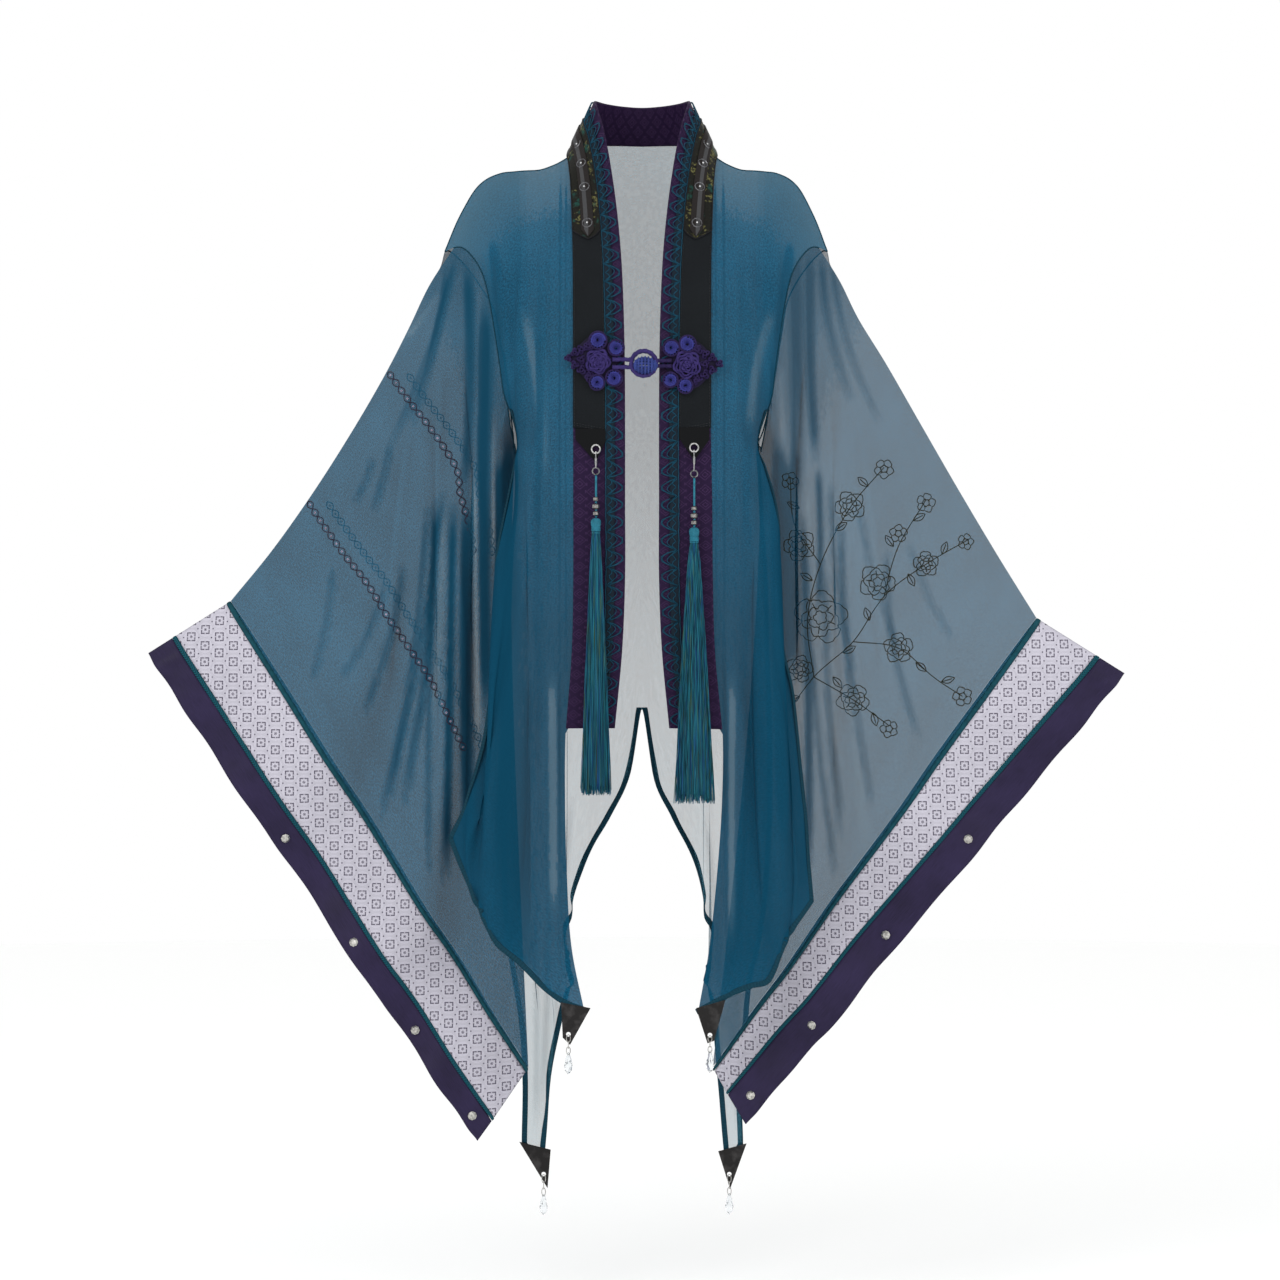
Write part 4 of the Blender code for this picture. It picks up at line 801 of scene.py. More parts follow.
# Folds of each sleeve's near layer, which fan from the shoulder and the elbow towards the cuff
SLEEVE_FOLDS = {
    "left": (
        (-226, -190, -214, -700, 9, 9, -6, 1.2), (-246, -220, -246, -760, -8, 8, 5, 0.4),
        (-262, -250, -272, -800, 9, 9, -6, 1.1), (-206, -300, -196, -860, -6, 8, -5, 1.0),
        (-232, -420, -226, -940, 6, 8, 6, 0.5), (-284, -300, -316, -700, -8, 10, 5, 0.3),
        (-300, -330, -346, -640, 7, 10, -5, 0.6), (-330, -330, -392, -560, -6, 11, 4, 0.2),
        (-252, -500, -262, -860, 5, 8, -5, 0.9), (-360, -400, -436, -560, 5, 11, -4, 0.3),
        (-290, -520, -318, -760, -5, 9, -4, 0.5), (-186, -620, -180, -1000, 5, 8, -5, 0.9),
    ),
    "right": (
        (206, -180, 200, -700, -9, 9, -6, 1.2), (224, -210, 230, -740, 8, 8, 5, 0.4),
        (240, -240, 254, -760, -8, 9, -6, 1.0), (188, -300, 182, -860, 6, 8, -5, 1.0),
        (208, -420, 206, -900, -6, 8, 6, 0.5), (262, -290, 296, -680, 8, 10, 5, 0.3),
        (284, -320, 328, -620, -7, 10, -5, 0.6), (312, -320, 374, -540, 6, 11, 4, 0.2),
        (236, -480, 244, -820, -5, 8, -5, 0.8), (342, -390, 414, -560, -5, 11, -4, 0.3),
        (270, -500, 300, -720, 5, 9, -4, 0.4),
    ),
}


# How far the folds of a sleeve's far layer lie from those of its near one
FOLD_SHIFT = 9

# Rows and columns of the sheer panels' meshes
FRONT_GRID = (170, 96)
BACK_GRID = (180, 180)
SLEEVE_GRID = (132, 241)

# How much more each cloth of a panel hides than the panel's own cover says
FRONT_STEPS = (-0.26, -0.16, -0.07, 0, 0.015)
BACK_STEPS = (-0.08, *(0.022 * step for step in range(10)), 0.28, 0.36)
SLEEVE_STEPS = (-0.22, -0.15, -0.08, 0, 0.05, 0.10, 0.15, 0.19)
COVER_SCATTER = 0.011

# The part of each side edge, from the top, that is sewn to the sleeve and has no hem
SEWN = {"front_left": 0.45, "front_right": 0.45, "back": 0.52}
HEM_THICKNESS = 1.6 * MM
SEAM_RADIUS = 0.9 * MM

# A sleeve's first rows are drawn onto the armhole where they lie near it
JOINED_ROWS = 20
JOIN_REACH = 28 * MM

# Painted shade at each armhole: how dark it is, and how far down the sleeve it reaches
ArmholeShade = namedtuple("ArmholeShade", "tone reach")
ARMHOLE_SHADES = {"left": ArmholeShade(0.36, 0.30), "right": ArmholeShade(0.55, 0.42)}


def far_folds(folds):
    """The far layer's folds: the near ones moved along and turned from troughs to ridges."""
    return tuple(
        fold._replace(
            x0=fold.x0 + FOLD_SHIFT * (1 if index % 2 else -1),
            x1=fold.x1 - FOLD_SHIFT * (0.6 if index % 3 else -0.8),
            depth=-0.8 * fold.depth,
            tuck=0.7 * fold.tuck,
            bow=-fold.bow,
        )
        for index, fold in enumerate(map(Fold._make, folds))
    )


def add_roll(bm, edge, inner, normals, width, thickness):
    """Lays a flattened roll of cloth along an edge. Inner is the next line of the sheet inwards."""
    inwards = inner - edge
    ahead = unit(np.gradient(edge, axis=0))
    for direction in (normals, ahead):
        inwards = inwards - direction * np.sum(inwards * direction, axis=1, keepdims=True)
    inwards = unit(inwards)
    path = edge + inwards * (width / 2)
    add_tube(bm, path, width / 2, across=(inwards, normals * (thickness / width)))


class Robe:
    """The dense surfaces that hems, seams and motifs follow, kept from one operator to the next."""

    sheets = {}


def sheer_panel(node, name, points, normals, colour, covers, settings, shaded_zone=None):
    """Makes a sheer panel. It has one chiffon for each cover, because lapped cloth hides more."""
    bm = bmesh.new()
    add_grid(bm, points, normals)
    deep, pale = tuple(settings.fold_shade_colour), tuple(settings.light_streak_colour)
    cloths = [
        chiffon(f"chiffon_{node}_{index}", colour, cover, deep, pale, shaded_zone)
        for index, cover in enumerate(covers)
    ]
    Robe.sheets[node] = (points, normals)
    return finish_piece(bm, name, cloths, replaces=(node,))


def rippled(points, normals, grid, size, count, hold):
    return points + normals * (ripples(grid, size, count) * hold)[:, :, None]


def make_front(side, settings):
    node = f"front_{side}"
    points, normals = front_wall(side).dense(*FRONT_GRID)
    u, v = shares(*FRONT_GRID)
    free = 1 - ease((0.46 - v) / 0.08)
    hold = ease(u / 0.14) * (free + (1 - free) * ease((1 - u) / 0.16))
    points = rippled(points, normals, FRONT_GRID, 1.0, 3, hold)
    points = drape(points, normals, FRONT_FOLDS[side], hold, settings.fold_depth)
    under = unit(points[:, 0] - points[:, 1]) * COLLAR_TUCK - normals[:, 0] * COLLAR_SINK
    points[:, 0] += under * (points[:, 0, 2] > COLLAR_END)[:, None]
    covers = [settings.front_cover + step for step in FRONT_STEPS]
    name, colour = f"front_panel_{side}", settings.front_colour
    piece = sheer_panel(node, name, points, normals, colour, covers, settings, SHADED_ZONES[side])
    # Painted shade and light of the streaks, paler towards the shoulders; the light streaks also hide less
    # and the dark ones a little more
    tone = streak_tone(points, STREAKS[node]) - 0.32 * ease((0.30 - v) / 0.28)
    mark_painted_tone(piece, tone)
    lay_covers(piece, settings.front_cover + 0.03 * tone.clip(0, 1) - 0.34 * (-tone).clip(0, 1), covers)
    return piece


def make_back(settings):
    points, normals = back_wall().dense(*BACK_GRID)
    u, v = shares(*BACK_GRID)
    hold = ease(v / 0.06) * np.ones_like(u)
    points = rippled(points, normals, BACK_GRID, 1.2, 7, hold)
    points = drape(points, normals, BACK_FOLDS, hold, settings.fold_depth)
    covers = [settings.back_cover + step for step in BACK_STEPS]
    piece = sheer_panel("back", "back_panel", points, normals, settings.back_colour, covers, settings)
    tone = streak_tone(points, STREAKS["back"])
    x, z = points[:, :, 0], points[:, :, 2]
    # Painted shade at the armholes, in colour and in a higher cover, with the streaks' painted shade and
    # light
    back_shade_at_armholes = ease((np.abs(x) - 0.135) / 0.035) * ease((z + 0.42) / 0.08)
    mark_painted_tone(piece, tone * 0.7 + 0.75 * back_shade_at_armholes)
    cover = settings.back_cover + 0.19 * ease((z + 0.95) / 0.80)
    lay_covers(piece, cover + 0.24 * (tone + back_shade_at_armholes).clip(0, 1) - 0.10 * (-tone).clip(0, 1), covers)
    return piece


def join_armhole(points, side, middle):
    """Draws the sleeve's first rows onto the armhole edges of the front and the back."""
    front = Robe.sheets[f"front_{side}"][0]
    front_edge = front[: int(len(front) * SEWN[f"front_{side}"]), -1]
    back_edge = Robe.sheets["back"][0].reshape(-1, 3)
    share = ease(1 - np.arange(JOINED_ROWS) / (JOINED_ROWS - 1))[:, None]
    for columns, edge in ((range(middle), front_edge), (range(middle, points.shape[1]), back_edge)):
        for column in columns:
            gaps = np.linalg.norm(edge - points[0, column], axis=1)
            nearest = int(gaps.argmin())
            if gaps[nearest] < JOIN_REACH:
                points[:JOINED_ROWS, column] += share * (edge[nearest] - points[0, column])


def sleeve_holds(u, v, middle):
    """How free the near and the far layer of a sleeve are to move, from 0 at their edges to 1."""
    ends = ease(v / 0.08) * ease((1 - v) / 0.06)
    hold = ends * ease(u / 0.06) * ease((1 - u) / 0.08)
    near, far = hold.copy(), hold.copy()
    near[:, middle:] = 0
    far[:, :middle] = 0
    return hold, near, far


def make_sleeve(side, settings):
    node = f"sleeve_{side}"
    wall = ring_wall(node, 8)
    rows, columns = SLEEVE_GRID
    share = np.linspace(0, 1, rows)
    share = 0.55 * share + 0.45 * share**2
    points, normals = wall.surface(share * wall.last_row, np.linspace(0, wall.last_column, columns))
    middle = columns // 2
    v = share[:, None]
    u = np.linspace(0, 2, columns)[None, :] % 1.0
    u[0, middle] = 1.0
    hold, near, far = sleeve_holds(u, v, middle)
    points = rippled(points, normals, SLEEVE_GRID, 0.9, 9, hold)
    folds = SLEEVE_FOLDS[side]
    points = drape(points, normals, folds, near, settings.fold_depth)
    points = drape(points, normals, far_folds(folds), far, settings.fold_depth)
    join_armhole(points, side, middle)
    base = settings.sleeve_cover[0 if side == "left" else 1]
    covers = [base + step for step in SLEEVE_STEPS]
    name, colour = f"sleeve_panel_{side}", settings.sleeve_colour
    piece = sheer_panel(node, name, points, normals, colour, covers, settings)
    # Painted shade towards the armhole, added to the streaks' painted shade and light; the shaded places
    # hide more and the light ones less
    painted_shade = ARMHOLE_SHADES[side]
    armhole_shade = painted_shade.tone * ease((painted_shade.reach - v) / painted_shade.reach) * np.ones_like(u)
    tone = 1.3 * streak_tone(points, STREAKS[node]) + armhole_shade
    mark_painted_tone(piece, tone)
    lay_covers(piece, base + 0.22 * tone.clip(0, 1) - 0.22 * (-tone).clip(0, 1), covers)
    return piece


def sheet_edges(name):
    """The four edges of a sheet with the next line inwards and the normals: top, bottom, first, last."""
    points, normals = Robe.sheets[name]
    return {
        "top": (points[0], points[2], normals[0]),
        "bottom": (points[-1], points[-3], normals[-1]),
        "first": (points[:, 0], points[:, 2], normals[:, 0]),
        "last": (points[:, -1], points[:, -3], normals[:, -1]),
    }


class HAORI_OT_fronts(Operator):
    """Drape the two sheer fronts over their solids"""

    bl_idname = "haori.fronts"
    bl_label = "Fronts"

    def execute(self, context):
        settings = context.scene.haori_cloth
        for side in SIDES:
            piece = make_front(side, settings)
        return {"FINISHED"}


class HAORI_OT_back(Operator):
    """Drape the sheer back with its two tails"""

    bl_idname = "haori.back"
    bl_label = "Back"

    def execute(self, context):
        piece = make_back(context.scene.haori_cloth)
        return {"FINISHED"}


class HAORI_OT_sleeves(Operator):
    """Hang the two sheer sleeves"""

    bl_idname = "haori.sleeves"
    bl_label = "Sleeves"

    def execute(self, context):
        for side in SIDES:
            piece = make_sleeve(side, context.scene.haori_cloth)
        return {"FINISHED"}


class HAORI_OT_hems(Operator):
    """Roll the hems and sew the seams of the sheer cloth"""

    bl_idname = "haori.hems"
    bl_label = "Hems and seams"

    def execute(self, context):
        settings = context.scene.haori_cloth
        roll = rolled_cloth("rolled_hem", settings.hem_colour)
        for name, sewn in SEWN.items():
            edges = sheet_edges(name)
            bm = bmesh.new()
            add_roll(bm, *edges["bottom"], settings.hem_width, HEM_THICKNESS)
            for place in ("first", "last") if name == "back" else ("last",):
                free = int(len(edges[place][0]) * sewn)
                add_roll(bm, *(line[free:] for line in edges[place]), settings.hem_width, HEM_THICKNESS)
            finish_piece(close_up(bm), f"hem_{name}", roll)
        seams = bmesh.new()
        for side in SIDES:
            for name in ("sleeve", "front"):
                add_tube(seams, Robe.sheets[f"{name}_{side}"][0][0], SEAM_RADIUS, 6)
        finish_piece(close_up(seams), "armhole_seams", roll)
        return {"FINISHED"}


# Finishes of the trims


class TrimSettings(PropertyGroup):
    """Sizes and colours of the cuffs and the collar."""

    brocade_colour: dye("Brocade", "Ground of the cuff brocade", (0.47, 0.455, 0.52))
    figure_colour: dye("Squares", "Squares of the cuff brocade", (0.055, 0.045, 0.075))
    satin_colour: dye("Satin", "Satin cuff bands", (0.018, 0.013, 0.040))
    braid_colour: dye("Braid", "Braid and piping", (0.004, 0.048, 0.066))
    damask_colour: dye("Damask", "Ground of the collar damask", (0.016, 0.007, 0.030))
    lozenge_colour: dye("Lozenges", "Lozenges of the collar damask", (0.050, 0.024, 0.074))
    lace_colour: dye("Lace", "Raised lines of the lace", (0.006, 0.055, 0.095))
    square_pitch: FloatVectorProperty(
        name="Pitch", description="Steps of the brocade squares, across and down",
        default=(0.0178, 0.0200), unit="LENGTH", size=2,
    )
    lace_pitch: FloatProperty(
        name="Scallop", description="Length of one lace scallop", default=22 * MM, unit="LENGTH"
    )


# Steps of the damask's lozenges in millimetres, across and along the collar
LOZENGE_WIDE, LOZENGE_TALL = 12.5, 16.5


def brocade(settings):
    """Notched squares round a dotted middle, in half drop with small dots between, on a figured ground."""
    paint = Paint("brocade", {"Roughness": 0.6, "Specular IOR Level": 0.2})
    vector = paint.place("Object")
    x, _, z = paint.split(vector)
    wide, tall = settings.square_pitch
    column = x / wide
    drop = column.whole().left_over(2.0) * 0.45
    a = abs(column.cell()) * (wide / MM)
    b = abs((z / tall + drop).cell()) * (tall / MM)
    reach = a.either(b)
    square = (reach > 4.1).both(reach < 5.5).both(a.both(b) > 0.6)
    far = (a * a + b * b).root()
    ring = (far > 2.0).both(far < 2.9)
    dot = (far < 1.0).either((far > 1.5).both(far < 2.0))
    beside = a - wide / MM * 0.45
    below = b - tall / MM * 0.5
    small = (beside * beside + below * below).root() < 0.95
    weave = paint.noise(vector, 1100.0, 1.0)
    cloud = paint.noise(vector, 14.0, 2.0)
    figure = square.either(dot).either(small)
    worn = figure * paint.between(weave, 0.30, 0.55, 0.55, 1.0)
    lattice = paint.between(abs(abs(far - 7.6) - 0.7), 0.0, 0.5, 1.0, 0.0).either(ring)
    ground = paint.tint(weave * 0.6 + cloud * 0.4, settings.brocade_colour, 0.66, 1.30)
    light = paint.mix(lattice * 0.5, ground, shade(settings.brocade_colour, 1.45))
    paint.colour(paint.mix(worn, light, tuple(settings.figure_colour)))
    paint.bump(weave * 0.5 + figure * 0.5, 0.0004, 0.5)
    return paint.material


def satin(name, colour):
    """Heavy satin: fine warp lines, a soft gloss and slow colour change."""
    paint = Paint(name, {"Roughness": 0.45, "Specular IOR Level": 0.12})
    warp = paint.noise(paint.place("UV", (60.0, 2200.0, 1.0)), 1.0, 2.0)
    cloud = paint.noise(paint.place("UV"), 16.0, 3.0)
    paint.colour(paint.tint(warp * 0.5 + cloud * 0.5, colour, 0.6, 1.7, 0.3, 0.7))
    paint.roughness(paint.between(cloud, 0.3, 0.7, 0.38, 0.55))
    paint.bump(warp, 0.0003, 0.35)
    return paint.material


def braided(name, colour):
    """Flat braid: slanting threads that cross in the middle."""
    paint = Paint(name, {"Roughness": 0.7, "Specular IOR Level": 0.1})
    u, v, _ = paint.split(paint.place("UV"))
    thread = ((abs(v - 3.0 * MM) * 1.2 + u) / (3.2 * MM)).rib(0.05, 0.45)
    fuzz = paint.noise(paint.place("UV"), 900.0, 2.0)
    light = thread * 0.7 + fuzz * 0.3
    paint.colour(paint.tint(light, colour, 0.35, 2.1))
    paint.bump(light, 0.0007, 0.8)
    return paint.material


def threaded(name, colour, pitch=1.1 * MM, roughness=0.5, spread=0.5):
    """Thread wound or laid along a cord: fine slanting lines over uneven dye."""
    paint = Paint(name, {"Roughness": roughness, "Specular IOR Level": 0.14})
    u, v, _ = paint.split(paint.place("UV"))
    line = ((v + u * 0.8) / pitch).rib(0.0, 0.5)
    dyed = paint.noise(paint.place("Object"), 150.0, 2.0)
    paint.colour(paint.tint(line * (1 - spread) + dyed * spread, colour, 0.35, 1.9, 0.2, 0.8))
    paint.bump(line, 0.0004, 0.7)
    return paint.material


def damask(settings):
    """Dark purple damask: a half-drop lattice of small diamonds and squares."""
    paint = Paint("damask", {"Roughness": 0.55, "Specular IOR Level": 0.08})
    u, v, _ = paint.split(paint.place("UV"))
    column = u / (LOZENGE_WIDE * MM)
    drop = column.whole().left_over(2.0) * 0.5
    a = abs(column.cell()) * LOZENGE_WIDE
    b = abs((v / (LOZENGE_TALL * MM) + drop).cell()) * LOZENGE_TALL
    lozenge = a + b
    outline = (lozenge > 5.4).both(lozenge < 6.5)
    inner = (lozenge > 2.2).both(lozenge < 3.4)
    corner = (a > 5.1).both(b > 6.6)
    weave = paint.noise(paint.place("UV"), 900.0, 2.0)
    figure = outline.either(inner).either(corner) * paint.between(weave, 0.35, 0.6, 0.45, 1.0)
    ground = paint.tint(weave, settings.damask_colour, 0.55, 1.5)
    paint.colour(paint.mix(figure * 0.8, ground, tuple(settings.lozenge_colour)))
    paint.bump(weave * 0.5 + figure * 0.5, 0.0004, 0.6)
    return paint.material


def twill(name, colour):
    """Black twill: fine slanting ribs, greyer where it is worn."""
    paint = Paint(name, {"Roughness": 0.75, "Specular IOR Level": 0.08})
    u, v, _ = paint.split(paint.place("UV"))
    rib = ((u + v) / (1.2 * MM)).rib(0.1, 0.4)
    fuzz = paint.noise(paint.place("UV"), 700.0, 2.0)
    wear = paint.noise(paint.place("UV"), 22.0, 3.0)
    paint.colour(paint.tint(rib * 0.35 + fuzz * 0.4 + wear * 0.25, colour, 0.55, 1.9, 0.25, 0.75))
    paint.bump(rib * 0.6 + fuzz * 0.4, 0.0004, 0.6)
    return paint.material


def gold_brocade():
    """Dark brocade with dull gold and green leaves scattered over it."""
    paint = Paint("neck_brocade", {"Roughness": 0.5, "Specular IOR Level": 0.08})
    vector = paint.place("UV")
    patches = paint.noise(vector, 150.0, 3.0)
    broad = paint.noise(vector, 30.0, 1.0)
    speck = paint.noise(vector, 420.0, 2.0)
    gold = paint.between(patches * broad, 0.285, 0.32) * paint.between(speck, 0.42, 0.56)
    green = paint.between(paint.noise(vector, 62.0, 2.0), 0.55, 0.63) * paint.between(speck, 0.36, 0.52)
    base = paint.mix(speck, (0.002, 0.003, 0.003), (0.016, 0.015, 0.011))
    leaf = paint.mix(green, base, (0.010, 0.050, 0.040))
    paint.colour(paint.mix(gold, leaf, (0.115, 0.110, 0.040)))
    paint.bump(speck * 0.5 + gold * 0.5, 0.0005, 0.7)
    return paint.material


def ribbed_tape():
    """Grey tape: two smooth dark sides and a lighter ribbed middle."""
    paint = Paint("neck_tape", {"Roughness": 0.6, "Specular IOR Level": 0.08})
    u, v, _ = paint.split(paint.place("UV"))
    middle = abs(u - 8.4 * MM) < 2.3 * MM
    rib = (v / (1.4 * MM)).rib(0.1, 0.4)
    fuzz = paint.noise(paint.place("UV"), 800.0, 2.0)
    light = paint.mix(rib * 0.5 + fuzz * 0.5, (0.026, 0.026, 0.028), (0.085, 0.086, 0.090))
    dark = paint.mix(fuzz, (0.008, 0.007, 0.007), (0.026, 0.022, 0.021))
    paint.colour(paint.mix(middle, dark, light))
    paint.bump(rib * middle * 0.7 + fuzz * 0.3, 0.0004, 0.8)
    return paint.material


def metal(name, colour, roughness):
    """Worn metal: brushed and unevenly stained."""
    paint = Paint(name, {"Metallic": 1.0, "Roughness": roughness})
    brushed = paint.noise(paint.place("Object", (500.0, 500.0, 3000.0)), 1.0, 2.0)
    stain = paint.noise(paint.place("Object"), 420.0, 3.0)
    paint.colour(paint.tint(stain, colour, 0.45, 1.25, 0.3, 0.7))
    paint.roughness(paint.between(brushed, 0.3, 0.7, roughness * 0.7, min(1.0, roughness * 1.4)))
    paint.bump(stain, 0.0002, 0.4)
    return paint.material


def leather():
    """Black leather: pebbled grain, scuffed lighter."""
    paint = Paint("leather", {"Roughness": 0.5, "Specular IOR Level": 0.2})
    scuff = paint.noise(paint.place("Object"), 90.0, 4.0)
    paint.colour(paint.mix(paint.between(scuff, 0.45, 0.75), (0.010, 0.009, 0.009), (0.045, 0.042, 0.042)))
    paint.roughness(paint.between(scuff, 0.3, 0.7, 0.40, 0.62))
    paint.bump(paint.pebbles(paint.place("Object"), 900.0), 0.0004, 0.6)
    return paint.material


def strands():
    """Silk strands: fine streaks of teal with some blue and olive ones."""
    paint = Paint("silk_strands", {"Roughness": 0.55, "Specular IOR Level": 0.12})
    streak = paint.noise(paint.place("Object", (1500.0, 1500.0, 9.0)), 1.0, 2.0)
    hue = paint.noise(paint.place("Object", (900.0, 900.0, 6.0)), 1.0, 1.0)
    teal = paint.mix(paint.between(streak, 0.36, 0.64), (0.002, 0.018, 0.034), (0.016, 0.165, 0.225))
    blue = paint.mix(paint.between(hue, 0.56, 0.68, 0.0, 0.8), teal, (0.010, 0.050, 0.190))
    paint.colour(paint.mix(paint.between(hue, 0.40, 0.32, 0.0, 0.8), blue, (0.060, 0.095, 0.030)))
    return paint.material


# Cuffs


# A strip round a cuff: rows of its solid's wall, rows and columns of its mesh, and in millimetres how far it
# swells and puckers, how far its free rim waves, and how thick it is
CuffStrip = namedtuple("CuffStrip", "part slot wall_rows rows columns swell pucker rim thickness")
CUFF_STRIPS = (
    CuffStrip("piping", "piping", 2, 6, 361, 1.3, 0.0, 0.0, 0.8),
    CuffStrip("brocade", "brocade", 3, 18, 361, 0.0, 0.5, 0.0, 1.0),
    CuffStrip("braid", "braid", 2, 7, 721, 0.9, 0.1, 0.0, 1.2),
    CuffStrip("band", "satin", 2, 12, 361, 0.0, 0.3, 1.2, 1.0),
)


def cuff_surface(strip, side):
    """The surface of one cuff strip: rounded by its swell, puckered, and waved along a free rim."""
    wall = ring_wall(f"cuff_{strip.part}_{side}", strip.wall_rows)
    points, normals = wall.dense(strip.rows, strip.columns)
    u, v = shares(strip.rows, strip.columns)
    seam = ease(u * 2 % 1 / 0.05) * ease((1 - u * 2 % 1) / 0.05)
    wave = np.sin(2 * math.pi * (17 * u + 0.2 * np.sin(9 * u))) + 0.6 * np.sin(2 * math.pi * 41 * u + 4 * v)
    lift = strip.swell * np.sin(math.pi * v) + strip.pucker * wave * np.sin(math.pi * v) * seam
    lift = lift + strip.rim * v**2 * seam * np.sin(2 * math.pi * (13 * u + 0.15 * np.sin(11 * u)))
    points = points + normals * (lift * MM)[:, :, None]
    if strip.rim:
        down = unit(points[-1] - points[-2])
        sway = 0.8 * strip.rim * MM * v**3 * np.sin(2 * math.pi * 15 * u) * seam
        points = points + down[None] * sway[:, :, None]
    return points, normals


def make_strip(name, surface, material, thickness, node, closed=False):
    """An opaque strip of cloth in its solid's place. A closed one joins its first column to its last."""
    points, normals = surface
    bm = bmesh.new()
    add_grid(bm, points, normals)
    if closed:
        bmesh.ops.remove_doubles(bm, verts=bm.verts, dist=FINE_WELD)
    piece = finish_piece(bm, name, material, replaces=(node,))
    return thicken(piece, thickness)


class HAORI_OT_cuffs(Operator):
    """Sew the piping, brocade, braid and satin of both cuffs"""

    bl_idname = "haori.cuffs"
    bl_label = "Cuffs"

    def execute(self, context):
        settings = context.scene.haori_trim
        cloths = {
            "piping": threaded("cuff_piping", settings.braid_colour, 1.6 * MM, 0.7),
            "brocade": brocade(settings),
            "braid": braided("cuff_braid", settings.braid_colour),
            "band": satin("cuff_satin", settings.satin_colour),
        }
        for side in SIDES:
            for strip in CUFF_STRIPS:
                make_strip(
                    f"{strip.part}_strip_{side}", cuff_surface(strip, side), cloths[strip.part],
                    strip.thickness * MM, f"cuff_{strip.part}_{side}", closed=True,
                )
        return {"FINISHED"}


# Collar. Its wall has 39 rows, the middle one at the neck, and 6 columns from the inner edge out


COLLAR_MIDDLE = 19
COLLAR_ROWS = 420
LACE_COLUMNS = (1.0, 2.0)
STRAP_COLUMNS = (2.0, 5.0)
TAPE_COLUMNS = (3.0, 4.0)

# How many rows the strap and the patch reach each way from the neck, and the length of the patch's point
STRAP_REACH = 14.76
PATCH_REACH = 9.0
PATCH_POINT = 0.32
LACE_LIFT, STRAP_LIFT, PATCH_LIFT, TAPE_LIFT = 2.2 * MM, 2.4 * MM, 3.7 * MM, 5.0 * MM

# Heads of the small rings' stitches
POST_RADIUS = 1.5 * MM

# Length of the strap's stitches, and how high they lie
STITCH = 2.6 * MM
STITCH_LIFT = STRAP_LIFT + 0.2 * MM


def collar_strip(wall, columns, reach, steps, lift, point=0.0):
    """A strip on the collar that reaches as many rows each way from the neck, with pointed ends or not."""
    rows = np.linspace(COLLAR_MIDDLE - reach, COLLAR_MIDDLE + reach, steps[0])
    if point:
        tips = np.linspace(0, point, 7)[1:]
        rows = np.concatenate(((COLLAR_MIDDLE - reach - tips)[::-1], rows, COLLAR_MIDDLE + reach + tips))
    middle = (columns[0] + columns[1]) / 2
    share = np.linspace(columns[0] - middle, columns[1] - middle, steps[1])
    over = np.clip((np.abs(rows - COLLAR_MIDDLE) - reach) / (point or 1), 0, 1)
    narrow = 1 - 0.97 * over
    return wall.at(rows[:, None], middle + share[None, :] * narrow[:, None], lift)


def lace_columns(phase):
    """Where the raised lines run across the lace: arcs of each scallop, and loops along the free edge."""
    sewn = LACE_COLUMNS[1]
    arc = np.abs(np.sin(math.pi * phase))
    outer = sewn - 0.10 - 1.62 * arc**0.75
    return {
        "outer": outer,
        "inner": sewn - 0.10 - 1.10 * arc + 0.16 * np.sin(2 * math.pi * phase),
        "core": sewn - 0.22 - 0.50 * np.abs(np.sin(2 * math.pi * phase)) ** 0.8,
        "edge": sewn - 0.05 + 0.03 * np.sin(6 * math.pi * phase),
        "picot": outer - 0.14 * np.abs(np.sin(4 * math.pi * phase)) * (arc > 0.45),
    }


def make_lace(wall, settings):
    rows = np.linspace(0, 2 * COLLAR_MIDDLE, 2600)
    line, _ = wall.at(rows, np.full(rows.shape, sum(LACE_COLUMNS) / 2))
    along = lengths_along(line)
    phase = along / along[-1] * round(along[-1] / settings.lace_pitch)
    bm = bmesh.new()
    for name, columns in lace_columns(phase).items():
        every = 4 if name == "edge" else 2
        path, _ = wall.at(rows[::every], columns[::every], LACE_LIFT + 0.25 * MM)
        add_tube(bm, path, 0.55 * MM, 4)
    cord = threaded("lace_cord", settings.lace_colour, 1.2 * MM, 0.6)
    return finish_piece(close_up(bm), "lace_scallops", cord)


def stitch_dashes(bm, path, gap, radius):
    """Short raised stitches along a path."""
    along = lengths_along(path)
    for start in np.arange(gap, along[-1] - STITCH, STITCH + gap):
        marks = np.linspace(start, start + STITCH, 4)
        dash = np.stack([np.interp(marks, along, path[:, axis]) for axis in range(3)], axis=1)
        add_tube(bm, dash, (radius * 0.4, radius, radius, radius * 0.4), 4)


def make_piping(wall):
    """Piped edges of the neck patch, round both its points."""
    bm = bmesh.new()
    middle = sum(STRAP_COLUMNS) / 2
    half = (STRAP_COLUMNS[1] - STRAP_COLUMNS[0]) / 2
    share = np.concatenate((np.linspace(-1, 0, 14), np.linspace(0, 1, 14)[1:]))
    for way in (-1, 1):
        end = COLLAR_MIDDLE + way * PATCH_REACH
        rows = end + way * PATCH_POINT * (1 - np.abs(share)) * 1.02
        path, _ = wall.at(rows, middle + share * half * 0.98, PATCH_LIFT)
        add_tube(bm, path, 0.9 * MM, 6)
        for column in (STRAP_COLUMNS[0] + 0.06, STRAP_COLUMNS[1] - 0.06):
            path, _ = wall.at(np.linspace(COLLAR_MIDDLE, end, 80), np.full(80, column), PATCH_LIFT)
            add_tube(bm, path, 0.7 * MM, 6)
    return bm


